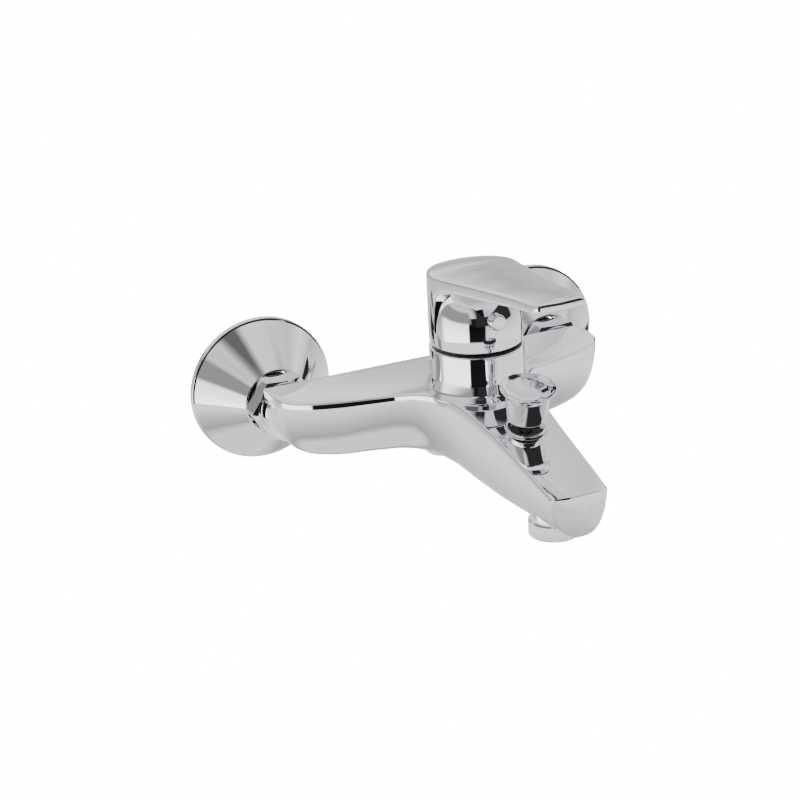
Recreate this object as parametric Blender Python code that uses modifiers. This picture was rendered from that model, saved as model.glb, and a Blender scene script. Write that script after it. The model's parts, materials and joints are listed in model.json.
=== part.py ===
"""Wall mounted bath and shower mixer, built as separate pieces.

Frame: origin on the wall plane midway between the two inlets, X right,
front of the mixer towards -Y, Z up. Metres.
"""
import math

import bmesh
import bpy
from mathutils import Matrix, Vector

MM = 0.001

# ---- driving sizes (millimetres) -----------------------------------------
INLET_SPACING = 150.0      # centre distance of the two wall inlets
ARM_HALF = INLET_SPACING / 2.0 + 11.5   # half length of the cross body
ARM_REAR_Y = -38.0
SPOUT_REACH = 200.0        # corner of the spout end, measured from the wall
CART_Y = -99.0             # axis of the cartridge and the lever swivel
CART_R = 17.5              # 35 mm ceramic cartridge
CART_NUT_R = CART_R + 2.2  # clamping nut above the cartridge
HOUSING_R = CART_R + 5.3
HOUSING_TOP = 40.8
FIT = 0.3                  # general clearance between neighbours
SLIDE_FIT = 0.35           # clearance of sliding and turning fits
PIVOT_Z = 42.0             # height of the lever lift axis
RIM_Z = 43.5               # lower edge of the lever skirt
LEVER_TIP_Y = 14.0 - SPOUT_REACH
LEVER_TIP_Z = 88.2
SKIRT_R = HOUSING_R - 0.2
ESC_R = 36.8               # radius of the wall escutcheon
ESC_DEPTH = 25.0
UNION_R = 13.0             # outside radius of the 3/4 thread
NUT_AF = 2.0 * UNION_R + 4.0   # union nut across flats
TAIL_R = UNION_R - 2.0     # neck of the body tail inside the nut
WALL_THREAD_R = 10.4       # outside radius of the 1/2 thread
UNION_DROP = 5.0           # eccentricity of the wall connector
BORE_R = 7.5
DIV_Y = 54.0 - SPOUT_REACH   # where the diverter axis meets the plane Z = 0
DIV_TILT = 10.0            # lean of the diverter axis towards the spout end, degrees
KNOB_R = 13.2
AER_Y = 25.0 - SPOUT_REACH
AER_R = 12.1
SHOWER_Y = -58.0
SHOWER_R = 10.4
PLUG_Z = 58.0              # height of the set screw and its plug
SEG = 28

HALF = INLET_SPACING / 2.0
COLL = "wall_bath_mixer"


# ---- helpers --------------------------------------------------------------
def clear_scene():
    for ob in list(bpy.data.objects):
        bpy.data.objects.remove(ob, do_unlink=True)
    for c in list(bpy.data.collections):
        bpy.data.collections.remove(c)


def make_collection(name):
    c = bpy.data.collections.new(name)
    bpy.context.scene.collection.children.link(c)
    return c


def material(name, rgb, rough, metal):
    m = bpy.data.materials.new(name)
    m.use_nodes = True
    p = m.node_tree.nodes["Principled BSDF"]
    p.inputs["Base Color"].default_value = (rgb[0], rgb[1], rgb[2], 1.0)
    p.inputs["Roughness"].default_value = rough
    p.inputs["Metallic"].default_value = metal
    m.diffuse_color = (rgb[0], rgb[1], rgb[2], 1.0)
    return m


LOOK = {
    "chrome": ((0.78, 0.78, 0.80), 0.08, 1.0),
    "brass": ((0.72, 0.55, 0.27), 0.30, 1.0),
    "steel": ((0.60, 0.60, 0.62), 0.30, 1.0),
    "rubber": ((0.03, 0.03, 0.03), 0.80, 0.0),
    "fibre": ((0.20, 0.08, 0.05), 0.85, 0.0),
    "plastic_dark": ((0.05, 0.05, 0.055), 0.45, 0.0),
    "plastic_pale": ((0.80, 0.80, 0.78), 0.40, 0.0),
    "plastic_grey": ((0.35, 0.36, 0.38), 0.45, 0.0),
    "ceramic": ((0.90, 0.89, 0.86), 0.12, 0.0),
}


def give_look(ob, look):
    rgb, rough, metal = LOOK[look]
    ob.data.materials.clear()
    ob.data.materials.append(material("m_" + ob.name, rgb, rough, metal))


def mesh_object(name, mesh, coll):
    ob = bpy.data.objects.new(name, mesh)
    coll.objects.link(ob)
    return ob


def from_bmesh(name, bm, coll):
    bmesh.ops.remove_doubles(bm, verts=bm.verts, dist=1e-6)
    bmesh.ops.recalc_face_normals(bm, faces=bm.faces)
    me = bpy.data.meshes.new(name)
    bm.to_mesh(me)
    bm.free()
    return mesh_object(name, me, coll)


def axis_matrix(axis):
    """Turn the local +Z of a turned piece towards the given axis."""
    if axis == "z":
        return Matrix.Identity(4)
    if axis == "-y":
        return Matrix.Rotation(math.radians(90.0), 4, "X")
    if axis == "div":
        return Matrix.Rotation(math.radians(DIV_TILT), 4, "X")
    return Matrix.Rotation(math.radians(90.0), 4, "Y")


def bake(ob):
    """Apply modifiers and placement, leaving a plain mesh at the origin."""
    bpy.context.view_layer.update()
    deps = bpy.context.evaluated_depsgraph_get()
    me = bpy.data.meshes.new_from_object(ob.evaluated_get(deps))
    me.transform(ob.matrix_world)
    bm = bmesh.new()
    bm.from_mesh(me)
    bmesh.ops.remove_doubles(bm, verts=bm.verts, dist=1e-7)
    bmesh.ops.recalc_face_normals(bm, faces=bm.faces)
    bm.to_mesh(me)
    bm.free()
    ob.modifiers.clear()
    if ob.type == "CURVE":
        name = ob.name
        coll = ob.users_collection[0]
        bpy.data.objects.remove(ob, do_unlink=True)
        return mesh_object(name, me, coll)
    ob.data = me
    ob.matrix_world = Matrix.Identity(4)
    return ob


def turned(name, profile, coll, place=(0, 0, 0), axis="z", steps=SEG):
    """Solid of revolution. profile: (radius, height) from top to bottom, mm."""
    me = bpy.data.meshes.new(name)
    pts = [(r * MM, 0.0, z * MM) for r, z in profile]
    me.from_pydata(pts, [(i, i + 1) for i in range(len(pts) - 1)], [])
    ob = mesh_object(name, me, coll)
    m = ob.modifiers.new("Screw", "SCREW")
    m.steps = steps
    m.render_steps = steps
    m.use_merge_vertices = True
    m.merge_threshold = 0.00002
    m.use_normal_calculate = True
    ob.matrix_world = Matrix.Translation(Vector(place) * MM) @ axis_matrix(axis)
    return bake(ob)


def cyl(name, r, p0, p1, coll, steps=24, r2=None):
    """Cylinder (or cone) between two points, millimetres."""
    a = Vector(p0) * MM
    b = Vector(p1) * MM
    bm = bmesh.new()
    bmesh.ops.create_cone(bm, cap_ends=True, cap_tris=False, segments=steps,
                          radius1=r * MM, radius2=(r if r2 is None else r2) * MM,
                          depth=(b - a).length)
    rot = (b - a).normalized().to_track_quat("Z", "Y").to_matrix().to_4x4()
    bmesh.ops.transform(bm, matrix=Matrix.Translation((a + b) / 2) @ rot, verts=bm.verts)
    return from_bmesh(name, bm, coll)


def on_div(h):
    """Point on the diverter axis, h millimetres from its foot."""
    a = math.radians(DIV_TILT)
    return (0.0, DIV_Y - h * math.sin(a), h * math.cos(a))


def block(name, lo, hi, coll):
    bm = bmesh.new()
    bmesh.ops.create_cube(bm, size=1.0)
    size = [(hi[i] - lo[i]) * MM for i in range(3)]
    mid = Vector([(hi[i] + lo[i]) / 2 * MM for i in range(3)])
    bmesh.ops.transform(bm, matrix=Matrix.Translation(mid) @ Matrix.Diagonal((*size, 1.0)),
                        verts=bm.verts)
    return from_bmesh(name, bm, coll)


def outline(name, pts, lo, hi, plane, coll):
    """Flat outline extruded square to its plane ('xy', 'yz' or 'xz')."""
    cu = bpy.data.curves.new(name, "CURVE")
    cu.dimensions = "2D"
    cu.fill_mode = "BOTH"
    sp = cu.splines.new("POLY")
    sp.points.add(len(pts) - 1)
    for i, (a, b) in enumerate(pts):
        sp.points[i].co = (a * MM, b * MM, 0.0, 1.0)
    sp.use_cyclic_u = True
    cu.extrude = (hi - lo) / 2 * MM
    ob = bpy.data.objects.new(name, cu)
    coll.objects.link(ob)
    mid = (hi + lo) / 2 * MM
    if plane == "xy":
        mat = Matrix.Translation((0, 0, mid))
    elif plane == "yz":
        mat = Matrix(((0, 0, 1, mid), (1, 0, 0, 0), (0, 1, 0, 0), (0, 0, 0, 1)))
    else:
        mat = Matrix(((1, 0, 0, 0), (0, 0, -1, mid), (0, 1, 0, 0), (0, 0, 0, 1)))
    ob.matrix_world = mat
    return bake(ob)


def as_cutter(ob):
    for c in list(ob.users_collection):
        c.objects.unlink(ob)
    CUT.objects.link(ob)
    ob.hide_render = True
    ob.display_type = "WIRE"
    return ob


def combine(ob, others, mode, solver="EXACT"):
    """Boolean the other solids into ob, one after the other."""
    for other in others:
        as_cutter(other)
        m = ob.modifiers.new(mode.title(), "BOOLEAN")
        m.operation = mode
        m.solver = solver
        m.object = other
    return ob


def joined(name, obs, coll):
    """One mesh object holding several separate solids."""
    bm = bmesh.new()
    for ob in obs:
        bm.from_mesh(ob.data)
        bpy.data.objects.remove(ob, do_unlink=True)
    me = bpy.data.meshes.new(name)
    bm.to_mesh(me)
    bm.free()
    return mesh_object(name, me, coll)


def bevel(ob, width, segs=2, angle=35.0):
    m = ob.modifiers.new("Bevel", "BEVEL")
    m.width = width * MM
    m.segments = segs
    m.limit_method = "ANGLE"
    m.angle_limit = math.radians(angle)
    m.harden_normals = False
    return ob


def smooth(ob, angle=32.0):
    for p in ob.data.polygons:
        p.use_smooth = True
    ob.data.set_sharp_from_angle(angle=math.radians(angle))
    return ob


def lerp_table(table, key):
    """Smooth interpolation in a table of rows sorted by rising first value."""
    n = len(table)
    for i in range(n - 1):
        a = table[i]
        b = table[i + 1]
        if a[0] <= key <= b[0]:
            t = (key - a[0]) / (b[0] - a[0])
            p = table[max(i - 1, 0)]
            q = table[min(i + 2, n - 1)]
            out = []
            for k in range(1, len(a)):
                h = b[0] - a[0]
                ma = (b[k] - p[k]) / (b[0] - p[0]) * h
                mb = (q[k] - a[k]) / (q[0] - a[0]) * h
                t2 = t * t
                t3 = t2 * t
                out.append((2 * t3 - 3 * t2 + 1) * a[k] + (t3 - 2 * t2 + t) * ma
                           + (-2 * t3 + 3 * t2) * b[k] + (t3 - t2) * mb)
            return out
    return list(table[-1][1:]) if key > table[-1][0] else list(table[0][1:])


def skin(name, rings, coll, cap_centres):
    """Loft through closed rings of equal point count, ends closed by fans."""
    bm = bmesh.new()
    vs = [[bm.verts.new(Vector(p) * MM) for p in ring] for ring in rings]
    n = len(rings[0])
    for a, b in zip(vs[:-1], vs[1:]):
        for i in range(n):
            bm.faces.new((a[i], a[(i + 1) % n], b[(i + 1) % n], b[i]))
    for ring, centre in ((vs[0], cap_centres[0]), (vs[-1], cap_centres[1])):
        c = bm.verts.new(Vector(centre) * MM)
        for i in range(n):
            bm.faces.new((ring[i], ring[(i + 1) % n], c))
    return from_bmesh(name, bm, coll)


# ---- body -------------------------------------------------------------------
# |x|, front y, height of the front top edge, bottom height
ARM_TABLE = [
    (0.0, -84.0, 18.0, -19.0),
    (24.0, -84.0, 17.6, -19.0),
    (44.8, -84.0, 16.5, -19.0),
    (62.0, -76.0, 15.0, -18.8),
    (74.0, -69.5, 14.3, -18.0),
    (80.0, -65.0, 14.1, -16.6),
    (83.5, -60.5, 14.0, -14.6),
    (85.0, -54.0, 14.0, -12.0),
]
# -y, half width, edge height, centre height, bottom height
SPOUT_TABLE = [
    (66.0, 66.0, 14.6, 16.0, -17.0),
    (76.0, 62.0, 15.0, 17.3, -19.2),
    (80.0, 53.5, 15.8, 17.7, -20.2),
    (84.0, 44.8, 16.5, 18.0, -21.3),
    (88.0, 37.0, 17.5, 18.5, -22.4),
    (95.0, 29.2, 19.0, 19.4, -24.0),
    (107.0, 23.9, 20.0, 20.4, -25.6),
    (120.0, 20.2, 19.4, 20.0, -26.0),
    (138.0, 18.0, 16.3, 17.0, -25.6),
    (155.0, 16.4, 12.7, 13.5, -24.4),
    (175.0, 15.5, 8.0, 8.9, -22.2),
    (200.0, 14.3, 1.5, 2.5, -19.0),
]


def arm_solid(coll):
    rings = []
    k = ARM_HALF / 85.0
    xs = [-85.0, -84.4, -83.5, -82, -80, -77, -74, -68, -62, -55, -50, -44.8, -36, -24, -12, 0]
    xs = xs + [-x for x in reversed(xs[:-1])]
    for x in xs:
        yf, zf, zb = lerp_table(ARM_TABLE, abs(x))
        zr = 14.0
        rf = min(15.0, (zf - zb) * 0.55, (ARM_REAR_Y - yf) * 0.60)
        rr = min(9.0, (zf - zb) * 0.35, (ARM_REAR_Y - yf) * 0.36)
        ring = [(x * k, ARM_REAR_Y, zr)]
        for s in range(1, 4):
            t = s / 3.0
            ring.append((x * k, ARM_REAR_Y + (yf - ARM_REAR_Y) * t, zr + (zf - zr) * t))
        for s in range(0, 8):
            a = math.pi / 2 * s / 7.0
            ring.append((x * k, yf + rf - rf * math.cos(a), zb + rf - rf * math.sin(a)))
        for s in range(0, 5):
            a = math.pi / 2 * s / 4.0
            ring.append((x * k, ARM_REAR_Y - rr + rr * math.sin(a), zb + rr - rr * math.cos(a)))
        rings.append(ring)
    mid = [(rings[i][0][0], ARM_REAR_Y - 8.0, 0.0) for i in (0, -1)]
    return skin("arm_solid", rings, coll, mid)


def spout_ring(y, w, ze, zc, zb, bulge, n_side=9, n_top=8, power=2.7):
    ring = []
    for s in range(n_top):
        u = -1.0 + 2.0 * s / n_top
        ring.append((u * w, y - bulge * (1 - u * u), ze + (zc - ze) * (1 - u * u)))
    total = 2 * n_side
    for s in range(total):
        a = math.pi * s / total
        c = math.cos(a)
        u = math.copysign(abs(c) ** (2.0 / power), c)
        v = abs(math.sin(a)) ** (2.0 / power)
        ring.append((u * w, y - bulge * (1 - u * u) * (1 - 0.25 * v), ze - (ze - zb) * v))
    return ring


def spout_solid(coll):
    k = SPOUT_REACH / 200.0
    ys = [66, 72, 76, 80, 84, 88, 92, 97, 103, 111, 120, 130, 142, 155, 170, 184, 194, 200]
    rings = []
    for y in ys:
        w, ze, zc, zb = lerp_table(SPOUT_TABLE, float(y))
        bulge = 4.0 * max(0.0, (y - 180.0) / 20.0) ** 2
        yy = y if y < 120 else 120 + (y - 120) * (200.0 * k - 120) / 80.0
        rings.append(spout_ring(-yy, w, ze, zc, zb, bulge))
    last = rings[-1]
    w, ze, zc, zb = lerp_table(SPOUT_TABLE, 200.0)
    zm = (ze + zb) / 2 + 1.5
    tip_y = -SPOUT_REACH - 5.0
    for f in (0.85, 0.6, 0.3):
        ring = []
        for p in last:
            edge_y = p[1]
            yy = edge_y + (tip_y - edge_y) * (1 - f ** 2)
            ring.append((p[0] * f, yy, zm + (p[2] - zm) * f))
        rings.append(ring)
    return skin("spout_solid", rings, coll, [(0, -66, 0), (0, tip_y, zm)])


def body_casting(coll):
    body = arm_solid(coll)
    body.name = "body_casting"
    spout = spout_solid(coll)
    top = HOUSING_TOP
    housing = turned("housing", [(0, top), (HOUSING_R - 0.9, top), (HOUSING_R - 0.3, top - 0.3),
                                 (HOUSING_R, top - 1.0),
                                 (HOUSING_R, 28.0), (HOUSING_R + 0.2, 25.5), (HOUSING_R + 0.8, 23.2),
                                 (HOUSING_R + 1.6, 21.6), (HOUSING_R + 2.4, 20.6),
                                 (HOUSING_R + 2.6, 19.0), (HOUSING_R + 0.2, 8.0),
                                 (HOUSING_R - 2.8, -6.0), (0, -6.0)],
                     coll, (0, CART_Y, 0), "z", 48)
    adds = [spout, housing]
    for s, side in ((-1, "left"), (1, "right")):
        adds.append(turned("tail_" + side,
                           [(0, 45.0), (UNION_R - 0.2, 45.0), (UNION_R - 0.2, 37.8), (TAIL_R, 37.4),
                            (TAIL_R, 33.4), (UNION_R - 0.1, 33.2), (UNION_R - 0.1, 31.4),
                            (0, 31.4)], coll, (s * HALF, 0, 0), "-y"))
    adds.append(cyl("shower_boss", SHOWER_R + 2.0, (0, SHOWER_Y, -10), (0, SHOWER_Y, -21.5), coll))
    adds.append(cyl("shower_nipple", SHOWER_R, (0, SHOWER_Y, -12), (0, SHOWER_Y, -29.5), coll))
    combine(body, adds, "UNION", "MANIFOLD")
    cuts = [
        cyl("cut_rebate", HOUSING_R - 1.2, (0, CART_Y, 39.3), (0, CART_Y, 45), coll, 40),
        cyl("cut_nut_bore", CART_NUT_R + FIT, (0, CART_Y, 33.0), (0, CART_Y, 40), coll, 40),
        cyl("cut_cavity", CART_R + FIT, (0, CART_Y, 10.0), (0, CART_Y, 34), coll, 40),
        cyl("cut_outlet_drop", 3.6, (0, CART_Y - 9, 12), (0, CART_Y - 9, -7), coll, 12),
        cyl("cut_spout_way", 5.5, (0, CART_Y - 6, -7), (0, AER_Y - 3, -7), coll, 16),
        cyl("cut_aerator", 11.3, (0, AER_Y, -30), (0, AER_Y, -9), coll, 28),
        cyl("cut_aerator_seat", AER_R + 0.4, (0, AER_Y, -30), (0, AER_Y, -20.9), coll, 32),
        cyl("cut_div_seat", 10.0, on_div(12.6), on_div(30), coll, 32),
        cyl("cut_div_bore", 7.0, on_div(20), on_div(-9), coll, 24),
        cyl("cut_div_port", 4.2, on_div(-5), on_div(-15.5), coll, 14),
        cyl("cut_shower_way", 3.4, (0, DIV_Y - 2, -14), (0, SHOWER_Y - 3, -14), coll, 12),
        cyl("cut_shower_bore", BORE_R, (0, SHOWER_Y, -40), (0, SHOWER_Y, -12.5), coll, 24),
    ]
    for s, side in ((-1, "left"), (1, "right")):
        cuts.append(cyl("cut_inlet_" + side, BORE_R, (s * HALF, -20, 0), (s * HALF, -60, 0), coll, 24))
        cuts.append(cyl("cut_run_" + side, 5.5, (s * HALF, -56, -1.5), (s * 10, -56, -1.5), coll, 14))
        cuts.append(cyl("cut_feed_" + side, 4.2, (s * 10, -54, -1.5), (s * 8, CART_Y + 1, -1.5),
                        coll, 14))
        cuts.append(cyl("cut_port_" + side, 3.4, (s * 8, CART_Y + 3, -2), (s * 8, CART_Y + 3, 12),
                        coll, 12))
    combine(body, cuts, "DIFFERENCE", "MANIFOLD")
    body = bake(body)
    return finish(body, "chrome", 40.0)


def finish(ob, look, angle=32.0):
    give_look(ob, look)
    smooth(ob, angle)
    return ob


# ---- wall side ---------------------------------------------------------------
def escutcheon(side, s, coll):
    r = ESC_R
    d = ESC_DEPTH
    prof = [(16.8, d - 0.3), (16.3, d), (15.6, d - 0.4), (24.0, 13.9), (UNION_R + 0.4, 13.9),
            (UNION_R + 0.4, 11.1),
            (26.2, 11.1), (r - 2.4, 2.6), (r - 1.6, 0.0), (r - 0.5, 0.0), (r, 0.5), (r, 3.2),
            (r - 0.5, 3.7), (r - 1.6, 4.1), (16.8, d - 0.3)]
    ob = turned("escutcheon_" + side, prof, coll, (s * HALF, 0, 0), "-y", 40)
    return finish(ob, "chrome", 28.0)


def s_union(side, s, coll):
    ob = turned("s_union_" + side, [(0, 28.9), (UNION_R - 0.6, 28.9), (UNION_R, 28.1), (UNION_R, 0.5),
                                    (UNION_R - 1.0, -1.0), (0, -1.0)],
                coll, (s * HALF, 0, 0), "-y", 28)
    tail = turned("tail", [(0, 6.0), (WALL_THREAD_R, 6.0), (WALL_THREAD_R, -13.2),
                           (WALL_THREAD_R - 0.8, -14.0), (0, -14.0)], coll,
                  (s * HALF, 0, -UNION_DROP), "-y", 28)
    combine(ob, [tail], "UNION")
    combine(ob, [cyl("cut_a", BORE_R, (s * HALF, 2, 0), (s * HALF, -35, 0), coll, 20),
                 cyl("cut_b", 6.4, (s * HALF, 20, -UNION_DROP), (s * HALF, -6, -UNION_DROP), coll,
                     20)], "DIFFERENCE")
    return finish(bake(ob), "brass")


def union_nut(side, s, coll):
    rc = NUT_AF / 2 / math.cos(math.pi / 6)
    ob = cyl("union_nut_" + side, rc, (s * HALF, -25.4, 0), (s * HALF, -37.0, 0), coll, 6)
    y0 = 25.4
    y1 = 37.0
    dome = turned("cham", [(0, y1), (NUT_AF / 2 - 0.6, y1), (rc + 0.3, y1 - 1.7), (rc + 0.3, y0 + 1.7),
                           (NUT_AF / 2 - 0.6, y0), (0, y0)], coll, (s * HALF, 0, 0), "-y", 36)
    combine(ob, [dome], "INTERSECT")
    cuts = [cyl("cut_t", UNION_R + SLIDE_FIT, (s * HALF, -10, 0), (s * HALF, -33.6, 0), coll, 28),
            cyl("cut_l", TAIL_R + SLIDE_FIT, (s * HALF, -10, 0), (s * HALF, -40, 0), coll, 28)]
    combine(ob, cuts, "DIFFERENCE")
    return finish(bake(ob), "chrome", 20.0)


def ring_piece(name, r_out, r_in, lo, hi, coll, place, axis, look, steps=28):
    c = 0.2
    prof = [(r_in, lo), (r_in, hi), (r_out - c, hi), (r_out, hi - c), (r_out, lo), (r_in, lo)]
    return finish(turned(name, prof, coll, place, axis, steps), look)


def nonreturn_valve(name, coll, place, axis, lo, hi):
    """Cup with a seat and a guided closing disc, one moulding."""
    r = BORE_R - FIT
    prof = [(0, hi), (1.6, hi), (1.6, hi - 2.0), (4.9, hi - 3.2), (4.9, hi - 0.5), (5.4, hi),
            (r - 0.4, hi), (r, hi - 0.4), (r, lo + 0.4), (r - 0.4, lo), (5.4, lo), (4.9, lo + 0.5),
            (4.9, hi - 5.2), (1.6, hi - 4.6), (1.6, lo + 1.5), (0, lo + 1.5)]
    return finish(turned(name, prof, coll, place, axis, 20), "plastic_grey")


def wall_side(side, s, coll):
    escutcheon(side, s, coll)
    s_union(side, s, coll)
    union_nut(side, s, coll)
    ring_piece("union_washer_" + side, UNION_R - 0.6, 8.0, 29.2, 31.1, coll, (s * HALF, 0, 0), "-y", "fibre")
    nonreturn_valve("nonreturn_valve_" + side, coll, (s * HALF, 0, 0), "-y", 33.0, 45.0)


# ---- cartridge --------------------------------------------------------------
def cartridge(coll):
    c = (0, CART_Y, 0)
    ports = ((-8, 3), (8, 3), (0, -9))

    def drill(ob, lo, hi, r):
        combine(ob, [cyl("cut_p", r, (x, CART_Y + y, lo), (x, CART_Y + y, hi), coll, 12)
                     for x, y in ports], "DIFFERENCE")
        return bake(ob)

    gasket = turned("cartridge_gasket", [(0, 11.7), (CART_R - 0.7, 11.7), (CART_R - 0.7, 10.3),
                                        (0, 10.3)], coll, c)
    finish(drill(gasket, 5, 15, 3.6), "rubber")
    base = turned("cartridge_base", [(0, 17.0), (15.0, 17.0), (15.0, 16.4), (CART_R - 0.1, 16.4),
                                     (CART_R - 0.1, 12.5), (CART_R - 0.6, 12.0), (0, 12.0)], coll, c)
    finish(drill(base, 5, 22, 3.3), "plastic_grey")
    fixed = turned("ceramic_disc_fixed", [(0, 21.3), (14.7, 21.3), (15.0, 21.0), (15.0, 17.6),
                                          (14.7, 17.3), (0, 17.3)], coll, c)
    finish(drill(fixed, 10, 25, 3.0), "ceramic")
    moving = turned("ceramic_disc_moving", [(0, 26.1), (11.2, 26.1), (11.5, 25.8), (11.5, 21.9),
                                            (11.2, 21.6), (0, 21.6)], coll, c)
    combine(moving, [cyl("cut_pocket", 7.2, (0, CART_Y - 1.5, 18), (0, CART_Y - 1.5, 24.2), coll, 20)],
            "DIFFERENCE")
    finish(bake(moving), "ceramic")
    carrier = turned("disc_carrier", [(0, 31.4), (7.0, 31.4), (7.5, 30.9), (7.5, 29.4),
                                      (10.8, 29.0), (11.2, 28.6), (11.2, 26.4), (0, 26.4)], coll, c)
    combine(carrier, [cyl("cut_ball", 3.15, c[:2] + (27.6,), c[:2] + (35,), coll, 18)], "DIFFERENCE")
    finish(bake(carrier), "plastic_dark")
    shell = turned("cartridge_shell", [(9.3 + SLIDE_FIT, 41.0), (12.1, 41.0), (12.5, 40.6),
                                       (12.5, 35.5), (CART_R - 0.4, 35.5), (CART_R, 35.1),
                                       (CART_R, 17.3), (15.8, 17.3), (15.8, 32.4),
                                       (9.3 + SLIDE_FIT, 32.4), (9.3 + SLIDE_FIT, 41.0)], coll, c)
    finish(shell, "plastic_pale")
    nut = turned("cartridge_nut", [(12.8, 39.0), (CART_NUT_R - 0.5, 39.0), (CART_NUT_R, 38.5),
                                   (CART_NUT_R, 35.8), (12.8, 35.8), (12.8, 39.0)], coll, c)
    combine(nut, [block("cut_slot_x", (-30, CART_Y - 2, 37.4), (30, CART_Y + 2, 45), coll),
                  block("cut_slot_y", (-2, CART_Y - 30, 37.4), (2, CART_Y + 30, 45), coll)],
            "DIFFERENCE")
    finish(bake(nut), "brass")
    ring_piece("trim_ring", HOUSING_R - 1.5, 13.2, 39.6, 40.9, coll, c, "z", "plastic_dark", 40)
    rotor = turned("cartridge_rotor", [(0, 44.6), (8.8, 44.6), (9.3, 44.1), (9.3, 33.0), (8.8, 32.6),
                                       (0, 32.6)], coll, c)
    combine(rotor, [block("cut_slot", (-4.3, CART_Y - 7.4, 20), (4.3, CART_Y + 7.4, 60), coll),
                    cyl("cut_pin", 1.5 + FIT, (-20, CART_Y, PIVOT_Z), (20, CART_Y, PIVOT_Z), coll,
                        12)], "DIFFERENCE")
    finish(bake(rotor), "plastic_dark")
    pin = cyl("pivot_pin", 1.5, (-9.0, CART_Y, PIVOT_Z), (9.0, CART_Y, PIVOT_Z), coll, 16)
    finish(pin, "steel")
    stem = turned("lever_spindle", [(0, 36.0), (2.4, 36.0), (2.4, 32.0), (2.7, 31.0), (2.75, 30.0),
                                    (2.5, 29.2), (1.8, 28.6), (0, 28.6)], coll, c, "z", 20)
    combine(stem, [block("bar", (-4.0, CART_Y - 3.75, 34.5), (4.0, CART_Y + 3.75, 61.0), coll)],
            "UNION")
    combine(stem, [cyl("cut_pin", 1.5 + FIT, (-20, CART_Y, PIVOT_Z), (20, CART_Y, PIVOT_Z), coll,
                       12)], "DIFFERENCE")
    finish(bake(stem), "brass")


# ---- lever --------------------------------------------------------------------
def lever_plan():
    """Half circle behind, straight tapering sides, softly curved front."""
    pts = []
    for i in range(0, 25):
        a = math.pi * i / 24.0
        pts.append((SKIRT_R * math.cos(a), CART_Y + SKIRT_R * math.sin(a)))
    left = [(22.4, CART_Y - 5), (21.6, CART_Y - 10), (19.3, CART_Y - 22), (16.6, CART_Y - 42),
            (14.4, CART_Y - 62), (13.0, LEVER_TIP_Y + 8), (12.7, LEVER_TIP_Y + 1.0)]
    pts += [(-x, y) for x, y in left]
    pts += [(-9.0, LEVER_TIP_Y - 0.5), (-4.5, LEVER_TIP_Y - 0.9), (0, LEVER_TIP_Y - 1.0),
            (4.5, LEVER_TIP_Y - 0.9), (9.0, LEVER_TIP_Y - 0.5)]
    pts += list(reversed(left))
    return pts


def lever_side():
    t = LEVER_TIP_Z
    back = CART_Y + SKIRT_R + 2
    top = [(back, 76.4), (back - 3, 76.8), (CART_Y + 16, 77.3), (CART_Y + 4, 78.2),
           (CART_Y - 10, 79.3), (CART_Y - 30, 81.4), (CART_Y - 55, t - 4.2), (LEVER_TIP_Y + 12, t - 1.3),
           (LEVER_TIP_Y - 3, t)]
    under = [(LEVER_TIP_Y - 3, t - 5.0), (LEVER_TIP_Y + 14, t - 7.0), (CART_Y - 50, t - 10.5),
             (CART_Y - 34, 76.2), (CART_Y - 22, 74.6), (CART_Y - 13, 72.8), (CART_Y - 7, 70.0),
             (CART_Y - 3.5, 65.5), (CART_Y - 2, 59.0), (CART_Y - 1.5, RIM_Z)]
    return top + under + [(back, RIM_Z)]


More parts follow.
